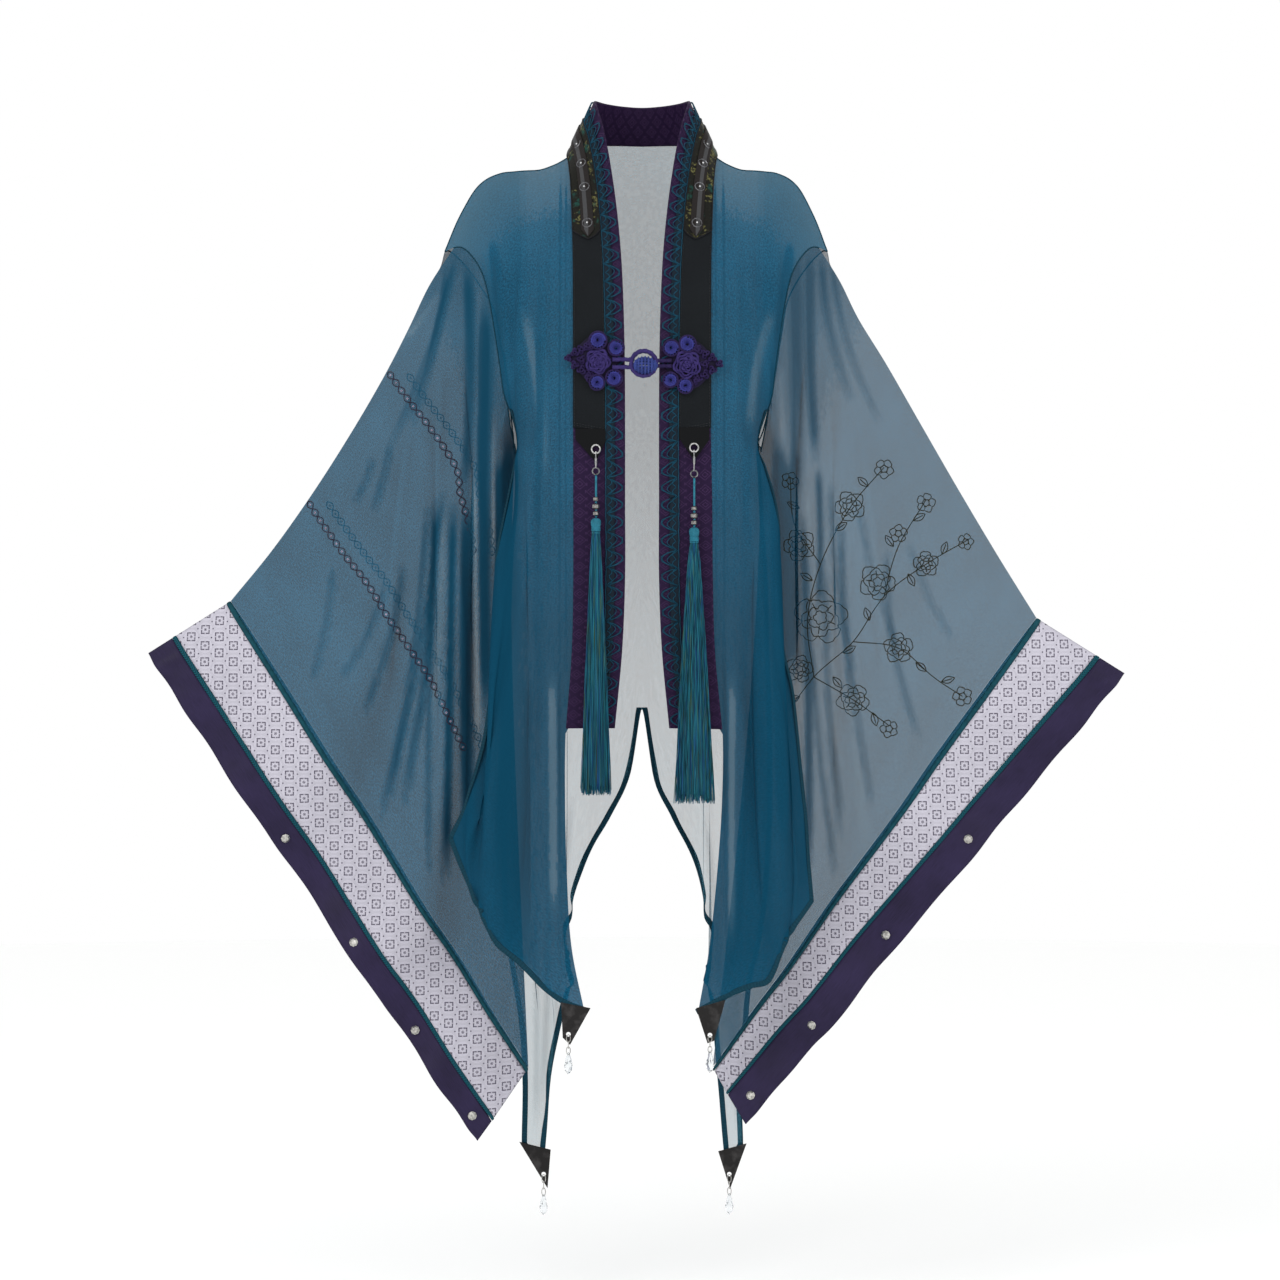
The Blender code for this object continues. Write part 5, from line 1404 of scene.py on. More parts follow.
def make_stitches(wall):
    """Two lines of stitches across each end of the strap, and one beside each long edge."""
    bm = bmesh.new()
    first, last = STRAP_COLUMNS
    for way in (-1, 1):
        for back in (0.10, 0.17):
            edge = COLLAR_MIDDLE + way * (STRAP_REACH - back)
            path, _ = wall.at(np.full(30, edge), np.linspace(first + 0.1, last - 0.1, 30), STITCH_LIFT)
            stitch_dashes(bm, path, 0.9 * MM, 0.35 * MM)
        for column in (first + 0.16, last - 0.14):
            start = COLLAR_MIDDLE + way * (PATCH_REACH + 0.5)
            rows = np.linspace(start, COLLAR_MIDDLE + way * STRAP_REACH, 120)
            path, _ = wall.at(rows, np.full(120, column), STITCH_LIFT)
            stitch_dashes(bm, path, 1.0 * MM, 0.3 * MM)
    return bm


def add_ball(bm, centre, radius):
    """A round head with twelve sides and eight rows of faces."""
    down = np.linspace(0, math.pi, 9)[1:-1, None]
    turn = np.linspace(0, 2 * math.pi, 13)[None, :]
    level = np.cos(down) * np.ones_like(turn)
    rings = np.stack((np.sin(down) * np.cos(turn), np.sin(down) * np.sin(turn), level), axis=2) * radius
    pole = np.array((0.0, 0.0, radius))
    add_grid(bm, capped(centre + rings, centre + pole, centre - pole))


def make_ring_posts():
    """The stitched heads that hold the small rings on the tape."""
    bm = bmesh.new()
    for index in range(1, 9):
        low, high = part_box(f"collar_ring_{index}")
        add_ball(bm, (np.array(low) + np.array(high)) / 2, POST_RADIUS)
    finish_piece(close_up(bm), "ring_posts", metal("bright_steel", (0.62, 0.62, 0.63), 0.25))


def make_damask_and_lace(wall, settings):
    base = wall.dense(COLLAR_ROWS, 21)
    band = make_strip("collar_band", base, damask(settings), 1.6 * MM, "collar_base")
    strip = collar_strip(wall, LACE_COLUMNS, COLLAR_MIDDLE, (COLLAR_ROWS, 5), LACE_LIFT)
    dark = twill("lace_ground", (0.008, 0.014, 0.022))
    ground = make_strip("lace_ground", strip, dark, 0.8 * MM, "collar_lace")
    scallops = make_lace(wall, settings)


def make_strap(wall):
    strip = collar_strip(wall, STRAP_COLUMNS, STRAP_REACH, (260, 13), STRAP_LIFT)
    black = twill("black_twill", (0.0070, 0.0084, 0.0100))
    strap = make_strip("strap", strip, black, 0.9 * MM, "collar_strap")
    thread = threaded("strap_thread", (0.030, 0.032, 0.036), 0.8 * MM)
    sewing = finish_piece(close_up(make_stitches(wall)), "strap_stitches", thread)


def make_patch_and_tape(wall):
    cord = threaded("black_piping", (0.008, 0.008, 0.010))
    trim = finish_piece(close_up(make_piping(wall)), "patch_piping", cord)
    strip = collar_strip(wall, STRAP_COLUMNS, PATCH_REACH, (200, 13), PATCH_LIFT, PATCH_POINT)
    patch = make_strip("neck_patch", strip, gold_brocade(), 0.8 * MM, "neck_brocade")
    strip = collar_strip(wall, TAPE_COLUMNS, PATCH_REACH, (260, 9), TAPE_LIFT, PATCH_POINT * 0.8)
    tape = make_strip("ribbed_tape", strip, ribbed_tape(), 0.8 * MM, "neck_tape")


class HAORI_OT_collar(Operator):
    """Lay the collar's damask, lace, strap, neck patch and tape"""

    bl_idname = "haori.collar"
    bl_label = "Collar"

    def execute(self, context):
        wall = collar_wall()
        make_damask_and_lace(wall, context.scene.haori_trim)
        make_strap(wall)
        make_patch_and_tape(wall)
        make_ring_posts()
        return {"FINISHED"}


# Frog. Places are millimetres in the front view


FROG_BACK = -122.5 * MM
Rosette = namedtuple("Rosette", "x z radius")
ROSES = {"left": Rosette(-53.6, -255.2, 15.3), "right": Rosette(54.8, -259.0, 16.6)}
COILS = {
    "left": (
        Rosette(-53.6, -229.4, 11.2),
        Rosette(-31.4, -238.6, 10.2),
        Rosette(-34.1, -275.0, 10.4),
        Rosette(-54.8, -280.6, 9.8),
    ),
    "right": (
        Rosette(35.6, -238.6, 10.4),
        Rosette(55.4, -233.6, 10.6),
        Rosette(34.6, -277.4, 9.6),
        Rosette(52.6, -284.6, 9.8),
    ),
}
TIPS = {"left": (-92.0, -250.4), "right": (96.6, -257.6)}

# Rows of dark knots: how far along the way from the rose to the tip, how far apart, how large and where
KnotRow = namedtuple("KnotRow", "share spread size places")
KNOT_ROWS = (
    KnotRow(0.30, 17.0, 6.4, (-1, 1)),
    KnotRow(0.52, 12.5, 6.0, (-1, 0, 1)),
    KnotRow(0.74, 7.5, 5.4, (-1, 1)),
    KnotRow(0.95, 0.0, 4.6, (0,)),
)

# The knots above and below a rose: how far outwards and up from its middle, and how large
ROSE_KNOTS = ((12, 19, 5.6), (11, -19, 5.6))

# Two parallel cords that end in the loop or the knot. Each lies its rise above or below the loop's middle
Cords = namedtuple("Cords", "start end y rise radius steps")
LOOP_CENTRE, LOOP_RADIUS, LOOP_CORD = (2.0, -129.4, -257.5), 15.0, 2.7
LOOP_ENDS = Cords(-36.0, LOOP_CENTRE[0] - LOOP_RADIUS + 1.0, LOOP_CENTRE[1], 4.6, 2.5, 30)
KNOT_CENTRE, KNOT_SIZE, KNOT_TURNS = (3.8, -130.2, -260.0), (16.0, 7.8, 10.4), 7
KNOT_STEM = Cords(12.0, 36.0, -128.6, 3.2, 2.4, 24)


def circle_path(centre, radius, count, wave=0.0, waves=0, phase=0.0, tilt=0.0):
    """A closed path round a centre in the front view, which a wave can draw in and out and forwards."""
    turn = np.linspace(0, 2 * math.pi, count)
    reach = radius * (1 + wave * np.cos(waves * turn + phase))
    path = np.stack((reach * np.cos(turn), tilt * np.sin(waves * turn), reach * np.sin(turn)), axis=1)
    return path + np.array(centre)


def spiral_path(centre, outer, inner, turns, rise, phase=0.0):
    """A coil from its rim to its middle; rise is how far the rim stands in front of the middle."""
    count = int(turns * 22)
    share = np.linspace(0, 1, count)
    turn = share * turns * 2 * math.pi + phase
    reach = outer + (inner - outer) * share
    path = np.stack((reach * np.cos(turn), rise * share**1.3, reach * np.sin(turn)), axis=1)
    return path + np.array(centre)


def blue_coil(threads, rims, rosette, phase):
    """A shallow bowl of coiled blue cord inside a beaded dark rim."""
    centre = (rosette.x * MM, FROG_BACK - 5.6 * MM, rosette.z * MM)
    radius = rosette.radius * MM
    path = spiral_path(centre, radius - 2.3 * MM, 1.5 * MM, 3.2, 3.6 * MM, phase)
    add_tube(threads, path, 1.08 * MM, 8, lobes=3, lobe=0.22, turns=2600)
    for step in range(15):
        turn = 2 * math.pi * step / 15 + phase
        reach = np.linspace(2.6 * MM, radius - 1.6 * MM, 8)
        rise = 2.7 * MM * (1 - (reach / radius)) - 0.9 * MM
        spoke = np.stack((reach * math.cos(turn), rise, reach * math.sin(turn)), axis=1) + np.array(centre)
        add_tube(threads, spoke, 0.55 * MM, 5)
    rim = circle_path(centre, radius - 0.6 * MM, 90)
    beads = 1.25 * MM * (1 + 0.22 * np.cos(np.linspace(0, 2 * math.pi * 26, 90)))
    add_tube(rims, rim, beads, 6, closed=True)


def purple_rose(bm, rosette, phase):
    """Five ruffled rounds of petals, each nearer than the one outside it."""
    for ring in range(5):
        radius = (rosette.radius - 1.6) * MM * (1 - 0.19 * ring)
        depth = FROG_BACK - (4.8 + 0.9 * ring) * MM
        centre = (rosette.x * MM, depth, rosette.z * MM)
        path = circle_path(centre, radius, 84, 0.10, 5 + ring % 2, phase + 1.9 * ring, 0.9 * MM)
        add_tube(bm, path, 1.22 * MM, 8, closed=True, flat=1.5, lobes=2, lobe=0.25, turns=1500)
    heart = circle_path((rosette.x * MM, FROG_BACK - 9.0 * MM, rosette.z * MM), 1.4 * MM, 20)
    add_tube(bm, heart, 1.3 * MM, 6, closed=True)


def tip_knots(side):
    """Where the dark knots of a frog's pointed end lie, with their sizes, from the rose to the tip."""
    tip_x, tip_z = TIPS[side]
    rose = ROSES[side]
    places = []
    for row in KNOT_ROWS:
        x = rose.x + (tip_x - rose.x) * row.share
        z = rose.z + (tip_z - rose.z) * row.share
        places.extend((x, z + row.spread * place, row.size) for place in row.places)
    places.extend((rose.x + SIDES[side] * out, rose.z + up, size) for out, up, size in ROSE_KNOTS)
    return places


def crochet_knot(bm, place, index):
    x, z, size = place
    centre = (x * MM, FROG_BACK - (3.4 + 0.5 * (index % 3)) * MM, z * MM)
    path = circle_path(centre, 0.62 * size * MM, 54, 0.42, 3, 1.3 * index, 1.2 * MM)
    add_tube(bm, path, 1.35 * MM, 6, closed=True, lobes=3, lobe=0.16, turns=2200)
    small = circle_path((centre[0], centre[1] - 1.2 * MM, centre[2]), 0.34 * size * MM, 24)
    add_tube(bm, small, 1.0 * MM, 6, closed=True)


def frog_pad(bm, side):
    """A low domed pad under the cords, drawn out to the tip."""
    rose, (tip_x, tip_z) = ROSES[side], TIPS[side]
    made = bmesh.ops.create_grid(bm, x_segments=28, y_segments=28, size=1.0)["verts"]
    inner = rose.x - SIDES[side] * 27
    for vertex in made:
        across, up = vertex.co.x, vertex.co.y
        size = max(abs(across), abs(up))
        reach = math.hypot(across, up) or 1.0
        across, up = across * size / reach, up * size / reach
        share = (across + 1) / 2
        x = inner + (tip_x - inner) * share
        half = 33.0 * math.sin(math.pi * min(1.0, share * 0.62 + 0.18)) * (1 - share**3 * 0.75)
        z = rose.z + (tip_z - rose.z) * share + up * half
        vertex.co = (x * MM, FROG_BACK - 3.2 * MM * (1 - size**3), z * MM)
    for face in bm.faces:
        face.smooth = True


def make_frog_half(side, blue, purple, dark):
    """One half of the frog: its pad, four blue coils, their rims, the rose and the knots of the tip."""
    pad, coils, rims, rose, knots = (bmesh.new() for _ in range(5))
    frog_pad(pad, side)
    for index, rosette in enumerate(COILS[side]):
        blue_coil(coils, rims, rosette, 1.7 * index)
    purple_rose(rose, ROSES[side], 0.6 if side == "left" else 2.1)
    for index, place in enumerate(tip_knots(side)):
        crochet_knot(knots, place, index)
    finish_piece(close_up(pad), f"frog_pad_{side}", dark, replaces=(f"frog_{side}",))
    finish_piece(close_up(coils), f"frog_coils_{side}", blue)
    finish_piece(close_up(rims), f"frog_rims_{side}", dark)
    finish_piece(close_up(rose), f"frog_rose_{side}", purple)
    finish_piece(close_up(knots), f"frog_knots_{side}", dark)


def add_cords(bm, cords):
    """Lays two twisted cords above one another."""
    x = np.linspace(cords.start, cords.end, cords.steps)
    y = np.full(x.shape, cords.y)
    for rise in (-cords.rise, cords.rise):
        path = np.stack((x, y, np.full(x.shape, LOOP_CENTRE[2] + rise)), axis=1) * MM
        add_tube(bm, path, cords.radius * MM, 10, lobes=3, lobe=0.2, turns=900)


def make_loop():
    """The cord ring round the knot, and the ends that run to the left half."""
    bm = bmesh.new()
    centre = tuple(part * MM for part in LOOP_CENTRE)
    ring = circle_path(centre, LOOP_RADIUS * MM, 160)
    add_tube(bm, ring, LOOP_CORD * MM, 12, closed=True, lobes=4, lobe=0.16, turns=900)
    add_cords(bm, LOOP_ENDS)
    return close_up(bm)


def make_knot():
    """A ball of cord: meridians that cross upright bands."""
    bm = bmesh.new()
    ball, size = np.array(KNOT_CENTRE) * MM, np.array(KNOT_SIZE)
    t = np.linspace(0, 2 * math.pi, 48)
    for turn in range(KNOT_TURNS):
        angle = math.pi * turn / KNOT_TURNS
        across = np.stack((np.cos(t), np.sin(t) * math.sin(angle), np.sin(t) * math.cos(angle)), axis=1)
        path = ball + across * size * MM * (0.86 + 0.03 * np.cos(3 * t))[:, None]
        add_tube(bm, path, 1.35 * MM, 6, closed=True, lobes=3, lobe=0.15, turns=2400)
        level = (turn - KNOT_TURNS // 2) / 3.6
        reach = math.sqrt(max(0.05, 1 - level * level))
        x = np.full(t.shape, level * size[0] * 0.9)
        band = np.stack((x, np.cos(t) * reach * size[1], np.sin(t) * reach * size[2]), axis=1)
        add_tube(bm, ball + band * MM, 1.25 * MM, 6, closed=True)
    return close_up(bm)


class HAORI_OT_frog(Operator):
    """Wind the corded frog, its loop and its knot"""

    bl_idname = "haori.frog"
    bl_label = "Frog"

    def execute(self, context):
        blue = threaded("blue_cord", (0.036, 0.038, 0.205), 0.9 * MM, 0.42, 0.4)
        bright = threaded("bright_cord", (0.034, 0.052, 0.21), 0.9 * MM, 0.42, 0.4)
        purple = threaded("purple_cord", (0.034, 0.023, 0.115), 0.9 * MM, 0.5, 0.4)
        dark = threaded("dark_purple_cord", (0.019, 0.011, 0.056), 1.0 * MM, 0.6, 0.4)
        for side in SIDES:
            make_frog_half(side, blue, purple, dark)
        stem = bmesh.new()
        add_cords(stem, KNOT_STEM)
        finish_piece(make_loop(), "loop_cord", purple, replaces=("frog_loop",))
        finish_piece(make_knot(), "blue_knot", bright, replaces=("frog_button",))
        finish_piece(close_up(stem), "knot_cords", dark)
        return {"FINISHED"}


# Tassels


# A tassel in millimetres: its middle, the heights of its head, neck and end, and half its width and depth
Hanging = namedtuple("Hanging", "x y head neck end wide deep")
TASSELS = {
    "left": Hanging(-56.2, -126.3, -445.5, -458.4, -776.5, 19.0, 8.5),
    "right": Hanging(63.4, -126.2, -456.8, -470.7, -786.5, 26.5, 12.0),
}
STRAND_COUNT = 300
STRAND_STEPS = 12
STRAND_RADIUS = 0.55 * MM

# The head's outline: its radius at distances below its top
HEAD_PROFILE = (
    (0.2, 0.0), (3.6, 0.6), (5.4, 2.4), (6.0, 5.2), (5.7, 8.6),
    (4.9, 11.4), (4.3, 13.2), (4.4, 15.6), (5.2, 19.0),
)
BINDING_TURNS = 4
CORD_RADIUS = 1.3 * MM


def middle_line(node):
    """The middle of a solid's box in x and y, with its lowest and highest z."""
    low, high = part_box(node)
    return (low[0] + high[0]) / 2, (low[1] + high[1]) / 2, low[2], high[2]


def tassel_spread(hanging, share):
    """Half width and half depth of a tassel, from its neck to its end."""
    swell = 4.2 + (hanging.wide - 4.2) * (0.42 * share**0.5 + 0.58 * share**1.1)
    depth = 4.0 + (hanging.deep - 4.0) * share**0.7
    return swell, depth


def tassel_middle(side, hanging, share):
    end = middle_line(f"tassel_skirt_{side}")[0] / MM
    return hanging.x + (end - hanging.x) * share**1.5


def make_strands(bm, side, hanging, rng):
    share = np.linspace(0, 1, STRAND_STEPS)
    wide, deep = tassel_spread(hanging, share)
    middle = tassel_middle(side, hanging, share)
    for _ in range(STRAND_COUNT):
        turn = rng.uniform(0, 2 * math.pi)
        reach = math.sqrt(rng.uniform(0.25, 1.0))
        drop = rng.uniform(-7.0, 2.0)
        wander = rng.uniform(-0.22, 0.22)
        phase = rng.uniform(0, 6.28)
        angle = turn + wander * np.sin(4 * share + phase)
        stray = 1 + 0.05 * np.sin(7 * share + phase) * share
        x = middle + wide * reach * np.cos(angle) * stray * 0.96
        y = hanging.y + deep * reach * np.sin(angle) * 0.96
        z = hanging.neck + (hanging.end + drop - hanging.neck) * share
        add_tube(bm, np.stack((x, y, z), axis=1) * MM, STRAND_RADIUS * (1 - 0.35 * share), 3)


def make_tassel_core(bm, side, hanging):
    """The dense middle of the strands, so that no light shows through the tassel."""
    share = np.linspace(0, 0.985, 30)
    wide, deep = tassel_spread(hanging, share)
    turn = np.linspace(0, 2 * math.pi, 49)
    flute = 1 + 0.05 * np.cos(17 * turn[None, :] + 2.5 * share[:, None])
    x = tassel_middle(side, hanging, share)[:, None] + 0.80 * wide[:, None] * np.cos(turn) * flute
    y = hanging.y + 0.78 * deep[:, None] * np.sin(turn) * flute
    z = np.broadcast_to((hanging.neck + (hanging.end - hanging.neck) * share)[:, None], x.shape)
    rings = np.stack((x, y, z), axis=2) * MM
    add_grid(bm, capped(rings, rings[0].mean(axis=0), rings[-1].mean(axis=0)))


def make_tassel_head(bm, hanging):
    """The folded threads over the core, bound at the neck."""
    turn = np.linspace(0, 2 * math.pi, 73)
    flute = 1 + 0.045 * np.cos(36 * turn)
    rings = []
    for radius, below in HEAD_PROFILE:
        x = hanging.x + radius * np.cos(turn) * flute
        y = hanging.y + 0.85 * radius * np.sin(turn) * flute
        rings.append(np.stack((x, y, np.full(turn.shape, hanging.head - below)), axis=1))
    add_grid(bm, np.array(rings) * MM)
    turn = np.linspace(0, 2 * math.pi, 40)
    for step in range(BINDING_TURNS):
        centre = (hanging.x * MM, hanging.y * MM, (hanging.neck + 1.5 - 1.3 * step) * MM)
        path = np.stack((np.cos(turn) * 4.9, np.sin(turn) * 4.3, np.zeros(turn.shape)), axis=1) * MM
        add_tube(bm, path + np.array(centre), 0.8 * MM, 6, closed=True)


class HAORI_OT_tassels(Operator):
    """Comb the two tassels and bind their heads"""

    bl_idname = "haori.tassels"
    bl_label = "Tassels"

    def execute(self, context):
        rng = random.Random(SEED)
        silk = strands()
        bright = threaded("head_silk", (0.020, 0.150, 0.215), 1.2 * MM, 0.45, 0.5)
        for side, hanging in TASSELS.items():
            body, node = f"tassel_{side}", f"tassel_skirt_{side}"
            skirt, head = bmesh.new(), bmesh.new()
            make_tassel_core(skirt, side, hanging)
            make_strands(skirt, side, hanging, rng)
            finish_piece(close_up(skirt), f"strands_{side}", silk, body, (node,))
            make_tassel_head(head, hanging)
            x, y, low, high = middle_line(f"tassel_beads_{side}")
            add_tube(head, np.linspace((x, y, high), (x, y, low), 24), CORD_RADIUS, 8)
            finish_piece(close_up(head), f"tassel_head_{side}", bright, body)
        return {"FINISHED"}


# Lines stitched on the sleeves. Places are millimetres in the front view


CHAINS = (
    ((-316, -260), (-290, -296), (-262, -332), (-231, -380), (-226, -412), (-214, -455), (-210, -488)),
    ((-416, -421), (-402, -442), (-369, -488), (-342, -522), (-316, -564), (-290, -604), (-264, -642),
     (-245, -680), (-221, -732)),
)
CHAIN_PITCH, CHAIN_REACH = 12.0, 4.0
LINK_STEPS = 14

# How far the far layer's chains lie beside the near ones
FAR_SHIFT = 22
INK_RADIUS = 0.55

# The generic blossom drawing: its twigs, its blossoms with size and turn, and its leaves with their turn
TWIGS = (
    ((176, -690), (214, -640), (262, -596), (300, -540), (352, -500), (404, -470)),
    ((214, -640), (206, -570), (222, -500), (258, -430), (300, -380)),
    ((262, -596), (318, -604), (362, -640), (398, -664)),
    ((222, -500), (190, -450), (184, -392)),
    ((300, -540), (318, -478), (352, -420)),
    ((214, -640), (262, -668), (306, -700)),
)
BLOSSOMS = (
    (222, -566, 66, 0.2), (292, -522, 46, 1.1), (196, -476, 40, 0.7), (258, -428, 38, 2.0),
    (352, -500, 32, 0.4), (318, -604, 38, 1.6), (262, -668, 40, 0.9), (352, -424, 24, 0.1),
    (402, -472, 20, 1.3), (300, -382, 24, 2.2), (398, -664, 24, 0.6), (306, -704, 22, 1.9),
    (184, -396, 22, 1.2), (196, -630, 34, 2.6), (318, -462, 22, 0.3),
)
LEAVES = (
    (250, -610, 0.5), (238, -640, 5.4), (282, -570, 1.9), (330, -512, 5.2), (372, -488, 1.2),
    (212, -520, 2.6), (240, -458, 0.6), (280, -404, 2.4), (340, -622, 5.6), (372, -646, 0.3),
    (312, -478, 2.2), (336, -446, 0.5), (196, -430, 2.7), (286, -684, 5.0), (196, -664, 3.6),
)
LEAF_LENGTH = 17
LARGE_BLOSSOM = 30

# Rounds of petals of a large and a small blossom: their share of its size, and how far they are turned
LARGE_ROUNDS = ((1.0, 0.0), (0.74, 0.6), (0.48, 0.2), (0.26, 0.8))
SMALL_ROUNDS = ((1.0, 0.0), (0.4, 0.6))


def smooth_line(points, steps):
    """A smooth curve through a few points."""
    points = np.array(points, dtype=float)
    places = np.linspace(0, len(points) - 1, steps)
    return spline_weights(places, len(points), (0, len(points) - 1)) @ points


def sleeve_layer(side, far=False):
    """A search tree over the sleeve's near or far layer as it is seen from the front."""
    points, normals = Robe.sheets[f"sleeve_{side}"]
    middle = points.shape[1] // 2
    half = slice(middle, None) if far else slice(0, middle)
    points, normals = points[:, half].reshape(-1, 3), normals[:, half].reshape(-1, 3)
    tree = kdtree.KDTree(len(points))
    for index, point in enumerate(points):
        tree.insert((point[0], 0.0, point[2]), index)
    tree.balance()
    return tree, points, normals


def lay_on(layer, line, lift):
    """Puts a line seen from the front onto a sleeve."""
    tree, points, normals = layer
    placed = []
    for x, z in line:
        found = tree.find_n((x * MM, 0.0, z * MM), 4)
        share = np.array([1 / (gap + 1e-5) for _, _, gap in found])
        chosen = [index for _, index, _ in found]
        share /= share.sum()
        y = share @ points[chosen, 1]
        placed.append(np.array((x * MM, y, z * MM)) + unit(share @ normals[chosen]) * lift)
    return np.array(placed)


def chain_lines(points):
    """Two waves that cross, with a small diamond in each link."""
    base = smooth_line(points, 400)
    along = lengths_along(base)
    count = round(along[-1] / CHAIN_PITCH)
    marks = np.linspace(0, along[-1], count * LINK_STEPS)
    line = np.stack([np.interp(marks, along, base[:, axis]) for axis in (0, 1)], axis=1)
    ahead = unit(np.gradient(line, axis=0))
    beside = np.stack((-ahead[:, 1], ahead[:, 0]), axis=1)
    wave = CHAIN_REACH * np.sin(math.pi * marks / along[-1] * count)
    lines = [line + beside * wave[:, None], line - beside * wave[:, None]]
    turn = np.linspace(0, 2 * math.pi, 5)
    diamond = 1.1 * np.stack((np.cos(turn), np.sin(turn)), axis=1)
    return lines, [line[link * LINK_STEPS + LINK_STEPS // 2] + diamond for link in range(count)]


def blossom_lines(x, z, size, turn):
    """A line drawing of a five-petalled blossom with inner rounds of petals and a few stamens."""
    lines = []
    angle = np.linspace(0, 2 * math.pi, 61)
    frill = 0.035 * np.sin(9 * angle + x) + 0.02 * np.sin(23 * angle + z)
    for share, shift in LARGE_ROUNDS if size > LARGE_BLOSSOM else SMALL_ROUNDS:
        petal = size / 2 * share * (0.70 + 0.30 * np.abs(np.cos(2.5 * (angle + shift))) ** 0.7 + frill)
        lines.append(np.stack((x + petal * np.cos(angle + turn), z + petal * np.sin(angle + turn)), axis=1))
    for step in range(5):
        out = turn + math.pi / 5 + step * 2 * math.pi / 5
        reach = np.linspace(0.30, 0.62, 5) * size / 2
        lines.append(np.stack((x + reach * np.cos(out), z + reach * np.sin(out)), axis=1))
    return lines


def leaf_lines(x, z, turn):
    """The two sides of a leaf and its midrib."""
    share = np.linspace(0, 1, 12)
    wide = 0.24 * LEAF_LENGTH * np.sin(math.pi * share)
    spin = np.array(((math.cos(turn), math.sin(turn)), (-math.sin(turn), math.cos(turn))))
    along = share * LEAF_LENGTH
    rows = [(along, -wide), (along, wide), (along * 0.8, share * 0)]
    return [np.stack(row, axis=1) @ spin + (x, z) for row in rows]


def make_chains():
    """The chains on both layers of the left sleeve, with the small diamonds in their links."""
    chains, dots = bmesh.new(), bmesh.new()
    for layer, shift in ((sleeve_layer("left"), 0), (sleeve_layer("left", True), FAR_SHIFT)):
        for points in CHAINS:
            lines, diamonds = chain_lines([(x + shift, z) for x, z in points])
            for line in lines:
                add_tube(chains, lay_on(layer, line, 0.4 * MM), 0.7 * MM, 4)
            for diamond in diamonds:
                add_tube(dots, lay_on(layer, diamond, 0.6 * MM), 0.62 * MM, 4, closed=True)
    dark = threaded("chain_thread", (0.022, 0.017, 0.036), 1.0 * MM, 0.5)
    lilac = threaded("chain_dots", (0.36, 0.31, 0.42), 1.0 * MM, 0.5)
    finish_piece(close_up(chains), "sleeve_chains", dark)
    finish_piece(close_up(dots), "sleeve_chain_dots", lilac)


def make_blossoms():
    """The drawing on the near layer of the right sleeve: twigs, blossoms and leaves."""
    layer = sleeve_layer("right")
    lines = [smooth_line(twig, 60) for twig in TWIGS]
    for blossom in BLOSSOMS:
        lines.extend(blossom_lines(*blossom))
    for leaf in LEAVES:
        lines.extend(leaf_lines(*leaf))
    drawing = bmesh.new()
    for line in lines:
        add_tube(drawing, lay_on(layer, line, 0.3 * MM), INK_RADIUS * MM, 4)
    olive = threaded("drawing_ink", (0.014, 0.016, 0.008), 1.0 * MM, 0.7)
    finish_piece(close_up(drawing), "sleeve_blossoms", olive)


class HAORI_OT_motifs(Operator):
    """Stitch the chain lines on the left sleeve and the blossom drawing on the right one"""

    bl_idname = "haori.motifs"
    bl_label = "Sleeve motifs"

    def execute(self, context):
        make_chains()
        make_blossoms()
        return {"FINISHED"}


# Tabs, drops and the nodes that keep their own shape


# A crystal drop's outline: its radius at shares of its height from the top
DROP_PROFILE = ((0.10, 0.0), (0.30, 0.05), (0.62, 0.30), (1.0, 0.62), (0.72, 0.84), (0.06, 1.0))
DROP_LENGTH = 27 * MM
LINK_COUNT = 3


def crystal_drop(bm, x, y, top, bottom, width):
    """A faceted drop: eight sides, widest below its middle."""
    rings = []
    for index, (radius, share) in enumerate(DROP_PROFILE):
        turn = np.linspace(0, 2 * math.pi, 9) + (math.pi / 8 if index % 2 else 0)
        reach = radius * width / 2
        z = np.full(turn.shape, top + (bottom - top) * share)
        rings.append(np.stack((x + reach * np.cos(turn), y + 0.75 * reach * np.sin(turn), z), axis=1))
    rings = np.array(rings)
    made = add_grid(bm, capped(rings, rings[0].mean(axis=0), rings[-1].mean(axis=0)))
    for face in {face for vertex in made if vertex.is_valid for face in vertex.link_faces}:
        face.smooth = False


def link_path(centre, wide, tall, turned):
    turn = np.linspace(0, 2 * math.pi, 28)
    flat = np.stack((wide * np.cos(turn), np.zeros(28), tall * np.sin(turn)), axis=1)
    if turned:
        flat = flat[:, (1, 0, 2)]
    return flat + np.array(centre)


def make_crystal():
    """Clear glass with a faint unevenness."""
    look = {"Base Color": (0.93, 0.96, 0.98), "Roughness": 0.03, "IOR": 1.52, "Transmission Weight": 1.0}
    paint = Paint("crystal", look)
    paint.bump(paint.noise(paint.place("Object"), 260.0, 2.0), 0.0001, 0.15)
    return paint.material


